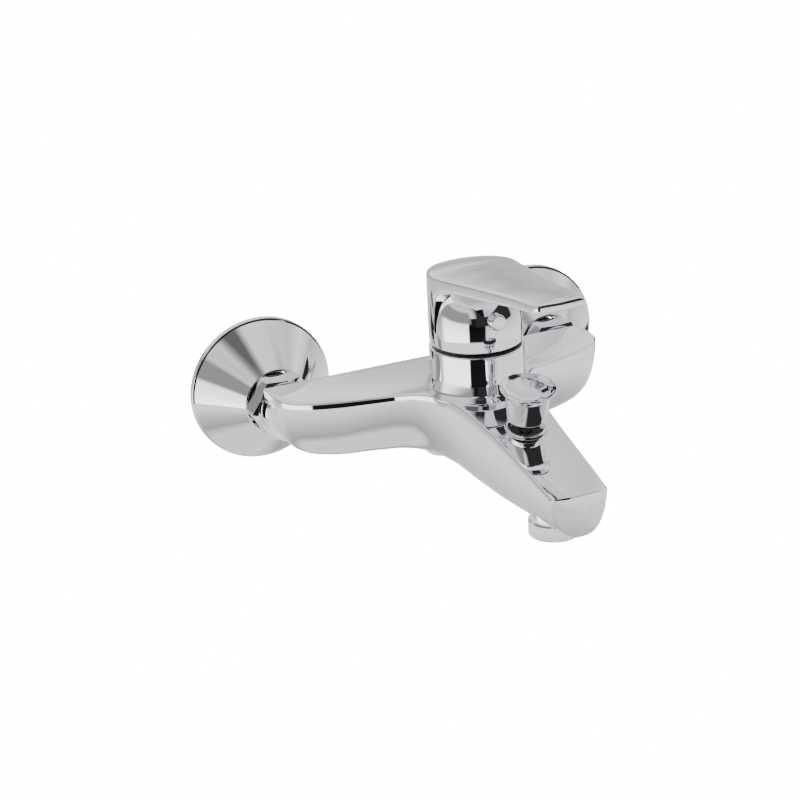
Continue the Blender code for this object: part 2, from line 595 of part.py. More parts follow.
def lever_handle(coll):
    c = (0, CART_Y, 0)
    hood = outline("lever_handle", lever_plan(), 40, 95, "xy", coll)
    side = outline("hood_side", lever_side(), -40, 40, "yz", coll)
    combine(hood, [side], "INTERSECT")
    hood = bake(hood)
    bevel(hood, 0.8, 2, 50.0)
    hood = bake(hood)
    r = SKIRT_R - 0.5
    dome_prof = [(0, 77.0)]
    for i in range(1, 13):
        a = math.pi / 2 * i / 12.0
        dome_prof.append((r * math.sin(a), 56.0 + 21.0 * math.cos(a)))
    dome_prof += [(r, RIM_Z + 0.6), (r - 0.5, RIM_Z), (0, RIM_Z)]
    dome = turned("dome", dome_prof, coll, c, "z", 48)
    combine(hood, [dome], "UNION")
    hood = bake(hood)
    ri = 19.6
    cave = turned("cut_cave", [(0, 68.5), (9, 67.6), (14.5, 64.4), (18.2, 59.6), (ri, 54.0),
                               (ri, 40.0), (0, 40.0)], coll, c, "z", 36)
    boss = turned("boss", [(0, 75.0), (8.2, 75.0), (7.8, 48.5), (7.4, 48.0), (0, 48.0)], coll, c,
                  "z", 20)
    tunnel = cyl("tunnel", 4.2, (0, CART_Y - 3, PLUG_Z), (0, CART_Y - 21.0, PLUG_Z), coll, 16)
    combine(cave, [boss, tunnel], "DIFFERENCE")
    cave = bake(cave)
    cave.name = "cut_cave"
    relief = outline("cut_relief", [(CART_Y + 7.0, RIM_Z - 5), (CART_Y + 7.0, RIM_Z - 0.02),
                                    (CART_Y + 30, RIM_Z + 23 * math.tan(math.radians(30))),
                                    (CART_Y + 30, RIM_Z - 5)], -40, 40, "yz", coll)
    combine(hood, [cave, relief,
                   block("cut_socket", (-4.0 - FIT, CART_Y - 3.75 - FIT, 40),
                         (4.0 + FIT, CART_Y + 3.75 + FIT, 61.4), coll),
                   cyl("cut_screw", 2.5 + FIT, (0, CART_Y, PLUG_Z), (0, CART_Y - 30, PLUG_Z), coll, 16)],
            "DIFFERENCE", "MANIFOLD")
    finish(bake(hood), "chrome", 30.0)
    screw = turned("set_screw", [(0, 10.2), (2.1, 10.2), (2.5, 9.8), (2.5, 4.6), (2.0, 4.1),
                                 (0, 4.1)], coll, (0, CART_Y, PLUG_Z), "-y", 16)
    combine(screw, [cyl("cut_hex", 1.25, (0, CART_Y - 7.5, PLUG_Z), (0, CART_Y - 14, PLUG_Z), coll, 6)],
            "DIFFERENCE")
    finish(bake(screw), "steel")
    plug = turned("index_plug", [(0, SKIRT_R + 2.4), (3.3, SKIRT_R + 2.4), (3.9, SKIRT_R + 1.8),
                                 (3.9, SKIRT_R - 0.1),
                                 (2.5, SKIRT_R - 0.1), (2.5, 15.0), (2.2, 14.7), (0, 14.7)], coll,
                  (0, CART_Y, PLUG_Z), "-y", 20)
    finish(plug, "chrome")


# ---- diverter -------------------------------------------------------------------
def diverter(coll):
    d = (0, DIV_Y, 0)
    hole = 2.5 + SLIDE_FIT
    bonnet = turned("diverter_bonnet", [(hole, 14.6), (7.2, 14.6), (8.0, 16.6), (9.2, 16.6),
                                        (9.7, 16.1), (9.7, 12.9), (6.7, 12.9), (6.7, 8.4),
                                        (6.3, 8.0), (hole, 8.0), (hole, 14.6)], coll, d, "div")
    finish(bonnet, "chrome")
    stem = turned("diverter_stem", [(0, 29.1), (1.9, 29.1), (2.5, 28.5), (2.5, -9.4), (2.1, -9.8),
                                    (0, -9.8)], coll, d, "div", 16)
    finish(stem, "steel")
    k = KNOB_R
    knob = turned("diverter_knob", [(0, 34.0), (k * 0.45, 34.3), (k * 0.8, 35.4), (k - 0.5, 36.6),
                                    (k, 36.4), (k, 35.7), (k - 1.3, 34.2), (k - 3.2, 32.6),
                                    (9.3, 31.0), (9.0, 29.1), (9.0, 21.8), (8.4, 20.2), (7.0, 19.2),
                                    (5.4, 18.9), (2.5 + FIT, 18.9), (2.5 + FIT, 29.4), (0, 29.4)],
                  coll, d, "div", 36)
    finish(knob, "chrome")
    plunger = turned("diverter_plunger", [(2.5 + FIT, -4.7), (6.0, -4.7), (6.4, -5.1), (6.4, -8.3),
                                          (6.0, -8.7), (2.5 + FIT, -8.7), (2.5 + FIT, -4.7)], coll, d,
                     "div")
    combine(plunger, [turned("cut_ring", [(5.4, -5.7), (8, -5.7), (8, -7.7), (5.4, -7.7), (5.4, -5.7)],
                             coll, d, "div")], "DIFFERENCE")
    finish(bake(plunger), "brass")
    seal = []
    for i in range(9):
        a = 2 * math.pi * i / 8.0
        seal.append((6.15 + 0.55 * math.cos(a), -6.7 + 0.68 * math.sin(a)))
    finish(turned("diverter_seal", seal, coll, d, "div"), "rubber")
    cu = bpy.data.curves.new("diverter_spring", "CURVE")
    cu.dimensions = "3D"
    cu.bevel_depth = 0.45 * MM
    cu.bevel_resolution = 0
    cu.use_fill_caps = True
    turns = 5.0
    n = int(turns * 14)
    sp = cu.splines.new("POLY")
    sp.points.add(n)
    for i in range(n + 1):
        a = 2 * math.pi * i / 14.0
        z = -3.9 + (7.2 + 3.9) * i / n
        sp.points[i].co = (4.3 * math.cos(a) * MM, 4.3 * math.sin(a) * MM, z * MM, 1.0)
    ob = bpy.data.objects.new("diverter_spring", cu)
    coll.objects.link(ob)
    ob.location = Vector(d) * MM
    ob.rotation_euler = (math.radians(DIV_TILT), 0.0, 0.0)
    cu.materials.append(material("m_diverter_spring", *LOOK["steel"]))


# ---- outlets --------------------------------------------------------------------
def outlets(coll):
    a = (0, AER_Y, 0)
    housing = turned("aerator_housing", [(9.9, -13.2), (10.6, -13.2), (11.0, -13.6), (11.0, -21.2),
                                         (AER_R - 0.3, -21.2), (AER_R, -21.5), (AER_R, -27.2),
                                         (AER_R - 0.5, -27.8), (9.2, -27.8), (9.2, -26.4),
                                         (9.9, -26.4), (9.9, -13.2)], coll, a)
    finish(housing, "chrome")
    insert = turned("aerator_insert", [(0, -16.0), (9.2, -16.0), (9.6, -16.4), (9.6, -25.7),
                                       (9.2, -26.1), (8.0, -26.1), (8.0, -23.0), (0, -23.0)], coll, a)
    holes = []
    for ring_r, count in ((0.0, 1), (4.6, 6)):
        for i in range(count):
            t = 2 * math.pi * i / count
            x = ring_r * math.cos(t)
            y = AER_Y + ring_r * math.sin(t)
            holes.append(cyl("cut_h", 1.5, (x, y, -12), (x, y, -25), coll, 10))
    combine(insert, [joined("cut_holes", holes, coll)], "DIFFERENCE")
    finish(bake(insert), "plastic_pale")
    ring_piece("aerator_washer", 10.7, 7.6, -12.9, -11.3, coll, a, "z", "rubber")
    nonreturn_valve("nonreturn_valve_shower", coll, (0, SHOWER_Y, 0), "z", -24.5, -13.5)


clear_scene()
MAIN = make_collection(COLL)
CUT = make_collection("cutters")
body_casting(MAIN)
for side_name, sign in (("left", -1), ("right", 1)):
    wall_side(side_name, sign, MAIN)
cartridge(MAIN)
lever_handle(MAIN)
diverter(MAIN)
outlets(MAIN)
for spent in list(CUT.objects):
    bpy.data.objects.remove(spent, do_unlink=True)
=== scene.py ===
"""Looks of the wall mounted bath mixer, laid over its packed working frame.

Sizes are in millimetres until a mesh is written, and positions follow the
frame: X right, Y into the wall, Z up, origin on the wall between the inlets.
"""
from __future__ import annotations

import json
import logging
import math
from dataclasses import dataclass, field
from enum import Enum
from typing import Iterable, Sequence

import bmesh
import bpy
from mathutils import Matrix, Vector


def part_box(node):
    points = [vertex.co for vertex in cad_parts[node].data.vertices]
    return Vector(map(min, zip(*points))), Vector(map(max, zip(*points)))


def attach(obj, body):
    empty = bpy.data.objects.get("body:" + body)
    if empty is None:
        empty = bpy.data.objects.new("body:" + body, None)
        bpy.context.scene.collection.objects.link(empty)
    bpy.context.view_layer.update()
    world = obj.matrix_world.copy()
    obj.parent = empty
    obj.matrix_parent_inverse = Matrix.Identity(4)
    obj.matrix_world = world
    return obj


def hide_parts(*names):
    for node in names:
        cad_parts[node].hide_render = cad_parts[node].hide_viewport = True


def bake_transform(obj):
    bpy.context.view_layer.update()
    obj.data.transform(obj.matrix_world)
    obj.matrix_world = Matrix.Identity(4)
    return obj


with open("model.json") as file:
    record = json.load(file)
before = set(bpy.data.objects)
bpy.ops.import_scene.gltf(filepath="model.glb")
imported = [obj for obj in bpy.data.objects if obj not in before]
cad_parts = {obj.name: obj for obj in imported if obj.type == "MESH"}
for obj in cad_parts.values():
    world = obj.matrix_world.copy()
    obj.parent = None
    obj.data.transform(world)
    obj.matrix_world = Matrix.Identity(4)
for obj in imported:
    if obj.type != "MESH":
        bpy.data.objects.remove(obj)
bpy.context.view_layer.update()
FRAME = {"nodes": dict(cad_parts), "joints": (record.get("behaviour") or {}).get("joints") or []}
LOG = logging.getLogger("bath_mixer")
MM = 0.001

Point2 = tuple[float, float]
Point3 = tuple[float, float, float]


def span(node: str, axis: int) -> tuple[float, float]:
    """Lowest and highest place of a node at rest along an axis, to a micrometre.

    Args:
        node: Node of the frame.
        axis: 0 for X, 1 for Y, 2 for Z.

    Returns:
        Both places in millimetres.
    """
    low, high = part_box(node)
    return round(low[axis] / MM, 3), round(high[axis] / MM, 3)


def centre(node: str, axis: int) -> float:
    """Middle of a node along an axis, in millimetres."""
    return round(sum(span(node, axis)) / 2, 3)


def half_size(node: str, axis: int) -> float:
    """Half of a node's size along an axis, in millimetres."""
    low, high = span(node, axis)
    return round((high - low) / 2, 3)


def joint_tilt(joint: str) -> float:
    """Lean of a joint's axis from the vertical, away from the wall, in degrees."""
    _, y, z = next(j["axis"] for j in FRAME["joints"] if j["name"] == joint)
    return round(math.degrees(math.atan2(-y, z)), 3)


class Body(Enum):
    """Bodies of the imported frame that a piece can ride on."""

    MIXER = "mixer_body"
    NUT_LEFT = "nut_left"
    NUT_RIGHT = "nut_right"
    ROTOR = "rotor"
    LEVER = "lever"
    SLIDER = "disc_slider"
    DIVERTER = "diverter"


class Side(Enum):
    """Sides of the mixer, as the names of their nodes and pieces end."""

    LEFT = "left"
    RIGHT = "right"


# --------------------------------------------------------------- geometry

def catmull(points: Sequence[Sequence[float]], per: int) -> list[list[float]]:
    """Smooth curve through control rows.

    Args:
        points: Control rows of equal length.
        per: Steps between two neighbouring rows.

    Returns:
        The sampled rows, first and last control row included.
    """
    pts = [list(p) for p in points]
    ext = ([[2 * a - b for a, b in zip(pts[0], pts[1])]] + pts
           + [[2 * a - b for a, b in zip(pts[-1], pts[-2])]])
    out: list[list[float]] = []
    for i in range(1, len(ext) - 2):
        p0, p1, p2, p3 = ext[i - 1:i + 3]
        for s in range(per):
            t = s / per
            out.append([0.5 * ((2 * b) + (c - a) * t + (2 * a - 5 * b + 4 * c - d) * t * t
                               + (3 * b - a - 3 * c + d) * t ** 3)
                        for a, b, c, d in zip(p0, p1, p2, p3)])
    out.append(pts[-1])
    return out


def rounded(points: Sequence[Sequence[float]], steps: int = 4) -> list[Point2]:
    """Polyline whose corners are turned into arcs.

    Args:
        points: Rows of (radius, height) or (radius, height, corner radius).
        steps: Segments of each arc.

    Returns:
        Points of the rounded line.
    """
    out: list[Point2] = []
    last = len(points) - 1
    for i, p in enumerate(points):
        here = Vector(p[:2])
        r = p[2] if len(p) > 2 else 0.0
        if r <= 0.0 or i in (0, last):
            out.append((here.x, here.y))
            continue
        a = (Vector(points[i - 1][:2]) - here)
        b = (Vector(points[i + 1][:2]) - here)
        la, lb = a.length, b.length
        a.normalize()
        b.normalize()
        ang = math.acos(max(-1.0, min(1.0, a.dot(b))))
        if ang > math.pi - 0.02:
            out.append((here.x, here.y))
            continue
        cut = min(r / math.tan(ang / 2), la * 0.48, lb * 0.48)
        r = cut * math.tan(ang / 2)
        start, end = here + a * cut, here + b * cut
        centre = here + (a + b).normalized() * (r / math.sin(ang / 2))
        va, vb = start - centre, end - centre
        sweep = va.angle_signed(vb)
        for s in range(steps + 1):
            turn = Matrix.Rotation(-sweep * s / steps, 2)
            q = centre + turn @ va
            out.append((q.x, q.y))
    return out


def write_mesh(name: str, verts: Iterable[Sequence[float]], faces: Iterable[Sequence[int]],
               sharp: float = 40.0) -> bpy.types.Object:
    """Make an object from millimetre points, merged and smooth shaded.

    Args:
        name: Object name.
        verts: Points in millimetres.
        faces: Vertex indices of each face.
        sharp: Edge angle in degrees past which shading breaks.

    Returns:
        The new object, linked to the scene.
    """
    me = bpy.data.meshes.new(name)
    me.from_pydata([tuple(c * MM for c in v) for v in verts], [], [tuple(f) for f in faces])
    bm = bmesh.new()
    bm.from_mesh(me)
    bmesh.ops.remove_doubles(bm, verts=bm.verts, dist=2e-6)
    bmesh.ops.dissolve_degenerate(bm, edges=bm.edges, dist=1e-6)
    bmesh.ops.recalc_face_normals(bm, faces=bm.faces)
    bm.to_mesh(me)
    bm.free()
    ob = bpy.data.objects.new(name, me)
    bpy.context.scene.collection.objects.link(ob)
    shade(ob, sharp)
    return ob


def shade(ob: bpy.types.Object, sharp: float) -> None:
    """Smooth shade, breaking at edges sharper than the angle in degrees."""
    ob.data.shade_smooth()
    ob.data.set_sharp_from_angle(angle=math.radians(sharp))


def frame_for(origin: Sequence[float], axis: Sequence[float]) -> Matrix:
    """Matrix that puts a piece turned about local Z on an axis at a point (millimetres)."""
    rot = Vector(axis).normalized().to_track_quat("Z", "Y").to_matrix().to_4x4()
    return Matrix.Translation(Vector(origin)) @ rot


def turned(name: str, profile: Sequence[Point2], origin: Sequence[float],
           axis: Sequence[float] = (0, 0, 1), steps: int = 96,
           sharp: float = 40.0) -> bpy.types.Object:
    """Solid of revolution.

    Args:
        name: Object name.
        profile: (radius, height) points; closed to the axis or on themselves.
        origin: Foot of the axis in millimetres.
        axis: Direction of the profile's height.
        steps: Segments round the axis.
        sharp: Edge angle past which shading breaks, degrees.

    Returns:
        The new object.
    """
    mat = frame_for(origin, axis)
    verts: list[Vector] = []
    faces: list[list[int]] = []
    n = len(profile)
    for s in range(steps):
        a = 2 * math.pi * s / steps
        for r, h in profile:
            verts.append(mat @ Vector((r * math.cos(a), r * math.sin(a), h)))
    for s in range(steps):
        t = (s + 1) % steps
        for i in range(n - 1):
            faces.append([s * n + i, t * n + i, t * n + i + 1, s * n + i + 1])
    return write_mesh(name, verts, faces, sharp)


def ring_profile(r_in: float, r_out: float, lo: float, hi: float, soft: float) -> list[Point2]:
    """Closed profile of a plain ring with softened corners.

    Args:
        r_in: Inner radius.
        r_out: Outer radius.
        lo: Lower height.
        hi: Upper height.
        soft: Corner radius.

    Returns:
        Points as (radius, height).
    """
    mid = (r_in + r_out) / 2
    return rounded([(mid, lo), (r_out, lo, soft), (r_out, hi, soft), (r_in, hi, soft),
                    (r_in, lo, soft), (mid, lo)])


def plain(ob: bpy.types.Object) -> bpy.types.Object:
    """Bake an object's modifiers into its mesh and drop them.

    Args:
        ob: Object to bake.

    Returns:
        The same object.
    """
    bpy.context.view_layer.update()
    deps = bpy.context.evaluated_depsgraph_get()
    me = bpy.data.meshes.new_from_object(ob.evaluated_get(deps))
    ob.modifiers.clear()
    ob.data = me
    return ob


def boolean(ob: bpy.types.Object, others: Sequence[bpy.types.Object],
            mode: str) -> bpy.types.Object:
    """Cut, join or intersect, then delete the tools.

    Args:
        ob: Object that keeps the result.
        others: Tool solids.
        mode: DIFFERENCE, UNION or INTERSECT.

    Returns:
        The changed object.
    """
    for other in others:
        m = ob.modifiers.new("cut", "BOOLEAN")
        m.operation, m.solver, m.object = mode, "MANIFOLD", other
    plain(ob)
    for other in others:
        bpy.data.objects.remove(other, do_unlink=True)
    return ob


def rod(name: str, r: float, a: Sequence[float], b: Sequence[float],
        steps: int = 48) -> bpy.types.Object:
    """Cylinder between two points in millimetres.

    Args:
        name: Object name.
        r: Radius.
        a: Centre of one end.
        b: Centre of the other end.
        steps: Segments round the axis.

    Returns:
        The new object.
    """
    length = (Vector(b) - Vector(a)).length
    return turned(name, [(0, 0), (r, 0), (r, length), (0, length)], a,
                  Vector(b) - Vector(a), steps)


# --------------------------------------------------------------- node helpers

class Nodes:
    """Short way to place and wire nodes in one tree."""

    def __init__(self, tree: bpy.types.NodeTree) -> None:
        """Keep the tree."""
        self.tree = tree

    def add(self, kind: str, values: dict[str | int, object] | None = None,
            **props: object) -> bpy.types.Node:
        """Add a node.

        Args:
            kind: Node class name.
            values: Input defaults, or output sockets to link, by input name or index.
            **props: Node properties.

        Returns:
            The node.
        """
        node = self.tree.nodes.new(kind)
        for key, val in props.items():
            setattr(node, key, val)
        for key, val in (values or {}).items():
            if isinstance(val, bpy.types.NodeSocket):
                self.tree.links.new(val, node.inputs[key])
            else:
                node.inputs[key].default_value = val
        return node

    def math(self, operation: str, *terms: object) -> bpy.types.NodeSocket:
        """Result of a Math node on one or two terms."""
        return self.add("ShaderNodeMath", dict(enumerate(terms)), operation=operation).outputs[0]

    def rise(self, value: bpy.types.NodeSocket, low: float, high: float) -> bpy.types.NodeSocket:
        """Zero up to the first limit, one past the second, even between."""
        return self.add("ShaderNodeMapRange", {"Value": value, "From Min": low,
                                               "From Max": high}).outputs["Result"]

    def fall(self, value: bpy.types.NodeSocket, low: float, high: float) -> bpy.types.NodeSocket:
        """One up to the first limit, zero past the second, even between."""
        return self.add("ShaderNodeMapRange", {"Value": value, "From Min": low, "From Max": high,
                                               "To Min": 1.0, "To Max": 0.0}).outputs["Result"]

    def product(self, *terms: bpy.types.NodeSocket) -> bpy.types.NodeSocket:
        """All the terms multiplied, in their order.

        Args:
            *terms: Sockets to multiply.

        Returns:
            The product.
        """
        out = terms[0]
        for term in terms[1:]:
            out = self.math("MULTIPLY", out, term)
        return out

    def mixed(self, amount: bpy.types.NodeSocket, base: object, top: object,
              blend_type: str = "MIX") -> bpy.types.NodeSocket:
        """Colour that goes from the base to the top by the amount."""
        return self.add("ShaderNodeMix", {0: amount, 6: base, 7: top}, data_type="RGBA",
                        blend_type=blend_type).outputs[2]

    def ramp(self, place: bpy.types.NodeSocket,
             stops: Sequence[tuple[float, Point3]]) -> bpy.types.NodeSocket:
        """Colour read from a ramp.

        Args:
            place: Where to read the ramp, 0 to 1.
            stops: Position and colour of each stop, in order.

        Returns:
            The colour.
        """
        node = self.add("ShaderNodeValToRGB", {"Fac": place})
        el = node.color_ramp.elements
        while len(el) < len(stops):
            el.new(0.5)
        for e, (position, colour) in zip(el, stops):
            e.position = position
            e.color = (*colour, 1)
        return node.outputs["Color"]


def group_socket(tree: bpy.types.NodeTree, name: str, kind: str, out: bool = False,
                 value: float | None = None) -> None:
    """Add an interface socket with an optional default.

    Args:
        tree: Node group.
        name: Socket name.
        kind: Socket class name.
        out: True for an output.
        value: Default value, if any.
    """
    s = tree.interface.new_socket(name=name, in_out="OUTPUT" if out else "INPUT", socket_type=kind)
    if value is not None:
        s.default_value = value


def build_wear_group() -> bpy.types.NodeTree:
    """Group that turns a position into soft handling marks and a fine ripple.

    Returns:
        The shader node group with inputs Vector, Mark Size, Ripple Size,
        Low and High, and outputs Roughness, Mask and Height.
    """
    g = bpy.data.node_groups.new("handling_marks", "ShaderNodeTree")
    group_socket(g, "Vector", "NodeSocketVector")
    for label, value in (("Mark Size", 40.0), ("Ripple Size", 900.0), ("Low", 0.03),
                         ("High", 0.08)):
        group_socket(g, label, "NodeSocketFloat", value=value)
    for label in ("Roughness", "Mask", "Height"):
        group_socket(g, label, "NodeSocketFloat", out=True)
    n = Nodes(g)
    inp = n.add("NodeGroupInput").outputs
    marks = n.add("ShaderNodeTexNoise", {"Vector": inp["Vector"], "Scale": inp["Mark Size"],
                                         "Detail": 4.0, "Roughness": 0.55, "Distortion": 0.6})
    soft = n.add("ShaderNodeMapRange", {"Value": marks.outputs["Fac"], "From Min": 0.35,
                                        "From Max": 0.7}, interpolation_type="SMOOTHSTEP")
    rough = n.add("ShaderNodeMapRange", {"Value": soft.outputs["Result"], "To Min": inp["Low"],
                                         "To Max": inp["High"]})
    ripple = n.add("ShaderNodeTexNoise", {"Vector": inp["Vector"], "Scale": inp["Ripple Size"],
                                          "Detail": 2.0})
    out = n.add("NodeGroupOutput")
    g.links.new(rough.outputs["Result"], out.inputs["Roughness"])
    g.links.new(soft.outputs["Result"], out.inputs["Mask"])
    g.links.new(ripple.outputs["Fac"], out.inputs["Height"])
    return g


WEAR = build_wear_group()


@dataclass(frozen=True)
class Finish:
    """One surface finish: two close tones, a roughness range and a fine relief."""

    name: str
    tone: tuple[float, float, float]
    tone_worn: tuple[float, float, float]
    metallic: float
    rough: tuple[float, float]
    mark_size: float = 45.0
    ripple_size: float = 900.0
    relief: float = 0.00001
    strength: float = 0.1
    coat: float = 0.0

    def material(self) -> bpy.types.Material:
        """Build or fetch the node material of this finish.

        Returns:
            The material.
        """
        found = bpy.data.materials.get(self.name)
        if found:
            return found
        m = bpy.data.materials.new(self.name)
        m.use_nodes = True
        n = Nodes(m.node_tree)
        shader = m.node_tree.nodes["Principled BSDF"]
        where = n.add("ShaderNodeTexCoord").outputs["Object"]
        wear = n.add("ShaderNodeGroup", node_tree=WEAR)
        m.node_tree.links.new(where, wear.inputs["Vector"])
        wear.inputs["Mark Size"].default_value = self.mark_size
        wear.inputs["Ripple Size"].default_value = self.ripple_size
        wear.inputs["Low"].default_value, wear.inputs["High"].default_value = self.rough
        colour = n.mixed(wear.outputs["Mask"], (*self.tone, 1.0), (*self.tone_worn, 1.0))
        bump = n.add("ShaderNodeBump", {"Height": wear.outputs["Height"],
                                        "Strength": self.strength, "Distance": self.relief})
        link = m.node_tree.links.new
        link(colour, shader.inputs["Base Color"])
        link(wear.outputs["Roughness"], shader.inputs["Roughness"])
        link(bump.outputs["Normal"], shader.inputs["Normal"])
        shader.inputs["Metallic"].default_value = self.metallic
        shader.inputs["Coat Weight"].default_value = self.coat
        m.diffuse_color = (*self.tone, 1.0)
        return m

    def dress(self, ob: bpy.types.Object) -> bpy.types.Object:
        """Give an object this finish in every slot.

        Args:
            ob: Object to dress.

        Returns:
            The same object.
        """
        if ob.data.materials:
            for i in range(len(ob.data.materials)):
                ob.material_slots[i].link = "OBJECT"
                ob.material_slots[i].material = self.material()
        else:
            ob.data.materials.append(self.material())
        return ob


CHROME = Finish("chrome_plate", (0.86, 0.86, 0.875), (0.83, 0.83, 0.85), 1.0, (0.015, 0.045),
                mark_size=28.0, ripple_size=120.0, relief=0.00002, strength=0.03)
BRASS = Finish("machined_brass", (0.74, 0.56, 0.28), (0.62, 0.46, 0.24), 1.0, (0.22, 0.38),
               mark_size=160.0, ripple_size=2600.0, relief=0.00003, strength=0.35)
NICKEL = Finish("nickel_plate", (0.70, 0.69, 0.66), (0.66, 0.65, 0.62), 1.0, (0.10, 0.20),
                mark_size=120.0, ripple_size=1800.0, relief=0.00002, strength=0.2)
STEEL = Finish("stainless_steel", (0.62, 0.62, 0.63), (0.55, 0.55, 0.56), 1.0, (0.18, 0.3),
               mark_size=200.0, ripple_size=3000.0, relief=0.00002, strength=0.3)
BLACK_PLASTIC = Finish("black_moulding", (0.020, 0.020, 0.022), (0.035, 0.035, 0.037), 0.0,
                       (0.28, 0.42), mark_size=120.0, ripple_size=3500.0, relief=0.00003,
                       strength=0.4)
GREY_PLASTIC = Finish("grey_moulding", (0.30, 0.31, 0.33), (0.34, 0.35, 0.37), 0.0, (0.4, 0.52),
                      mark_size=150.0, ripple_size=3500.0, relief=0.00003, strength=0.4)
PALE_PLASTIC = Finish("pale_moulding", (0.74, 0.74, 0.71), (0.68, 0.68, 0.65), 0.0, (0.32, 0.45),
                      mark_size=140.0, ripple_size=3200.0, relief=0.00003, strength=0.35)
RUBBER = Finish("seal_rubber", (0.022, 0.022, 0.022), (0.05, 0.05, 0.048), 0.0, (0.62, 0.8),
                mark_size=220.0, ripple_size=4200.0, relief=0.00005, strength=0.6)
FIBRE = Finish("pressed_fibre", (0.20, 0.075, 0.045), (0.28, 0.12, 0.07), 0.0, (0.75, 0.9),
               mark_size=500.0, ripple_size=5200.0, relief=0.00006, strength=0.7)
CERAMIC = Finish("lapped_ceramic", (0.86, 0.85, 0.81), (0.82, 0.81, 0.77), 0.0, (0.08, 0.16),
                 mark_size=180.0, ripple_size=2600.0, relief=0.00001, strength=0.15, coat=0.3)


def fit(ob: bpy.types.Object, finish: Finish, body: Body,
        replaces: Sequence[str] = ()) -> bpy.types.Object:
    """Dress a finished piece, mount it on its body and report it.

    Args:
        ob: Piece at the origin with its place in its mesh.
        finish: Surface finish.
        body: Body that carries the piece.
        replaces: Nodes that this piece stands for.

    Returns:
        The same object.
    """
    finish.dress(ob)
    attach(ob, body.value)
    if replaces:
        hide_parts(*replaces)
    LOG.info("%s: %d faces on %s", ob.name, len(ob.data.polygons), body.value)
    return ob


# --------------------------------------------------------------- repeated pieces

def new_geometry_tree(name: str, inputs: Sequence[tuple[str, str, float]]) -> bpy.types.NodeTree:
    """Geometry tree with a mesh output, a material input and the given number inputs.

    Args:
        name: Tree name.
        inputs: Name, socket class name and default of each number.

    Returns:
        The new tree.
    """
    g = bpy.data.node_groups.new(name, "GeometryNodeTree")
    group_socket(g, "Geometry", "NodeSocketGeometry")
    for label, kind, value in inputs:
        group_socket(g, label, kind, value=value)
    group_socket(g, "Material", "NodeSocketMaterial")
    group_socket(g, "Geometry", "NodeSocketGeometry", out=True)
    return g


def close_tree(g: bpy.types.NodeTree, shape: bpy.types.NodeSocket,
               material: bpy.types.NodeSocket) -> None:
    """End a geometry tree in Realize Instances and Set Material.

    Args:
        g: Geometry tree.
        shape: Geometry to hand out.
        material: Material of the result.
    """
    n = Nodes(g)
    real = n.add("GeometryNodeRealizeInstances", {"Geometry": shape})
    smooth = n.add("GeometryNodeSetShadeSmooth", {"Geometry": real.outputs["Geometry"]})
    dressed = n.add("GeometryNodeSetMaterial", {"Geometry": smooth.outputs["Geometry"],
                                                "Material": material})
    out = n.add("NodeGroupOutput")
    g.links.new(dressed.outputs["Geometry"], out.inputs["Geometry"])


def build_helix_tree() -> bpy.types.NodeTree:
    """Wire or thread ridge wound round the Z axis.

    Returns:
        Geometry tree with inputs Radius, Height, Turns, Wire, Sides and Material.
    """
    g = new_geometry_tree("wound_ridge", [("Radius", "NodeSocketFloat", 0.01),
                                          ("Height", "NodeSocketFloat", 0.01),
                                          ("Turns", "NodeSocketFloat", 5.0),
                                          ("Wire", "NodeSocketFloat", 0.0005),
                                          ("Sides", "NodeSocketInt", 8)])
    n = Nodes(g)
    inp = n.add("NodeGroupInput").outputs
    spiral = n.add("GeometryNodeCurveSpiral", {"Resolution": 48, "Rotations": inp["Turns"],
                                               "Start Radius": inp["Radius"],
                                               "End Radius": inp["Radius"],
                                               "Height": inp["Height"]})
    ring = n.add("GeometryNodeCurvePrimitiveCircle", {"Resolution": inp["Sides"],
                                                      "Radius": inp["Wire"]})
    tube = n.add("GeometryNodeCurveToMesh", {"Curve": spiral.outputs["Curve"],
                                             "Profile Curve": ring.outputs["Curve"],
                                             "Fill Caps": True})
    close_tree(g, tube.outputs["Mesh"], inp["Material"])
    return g


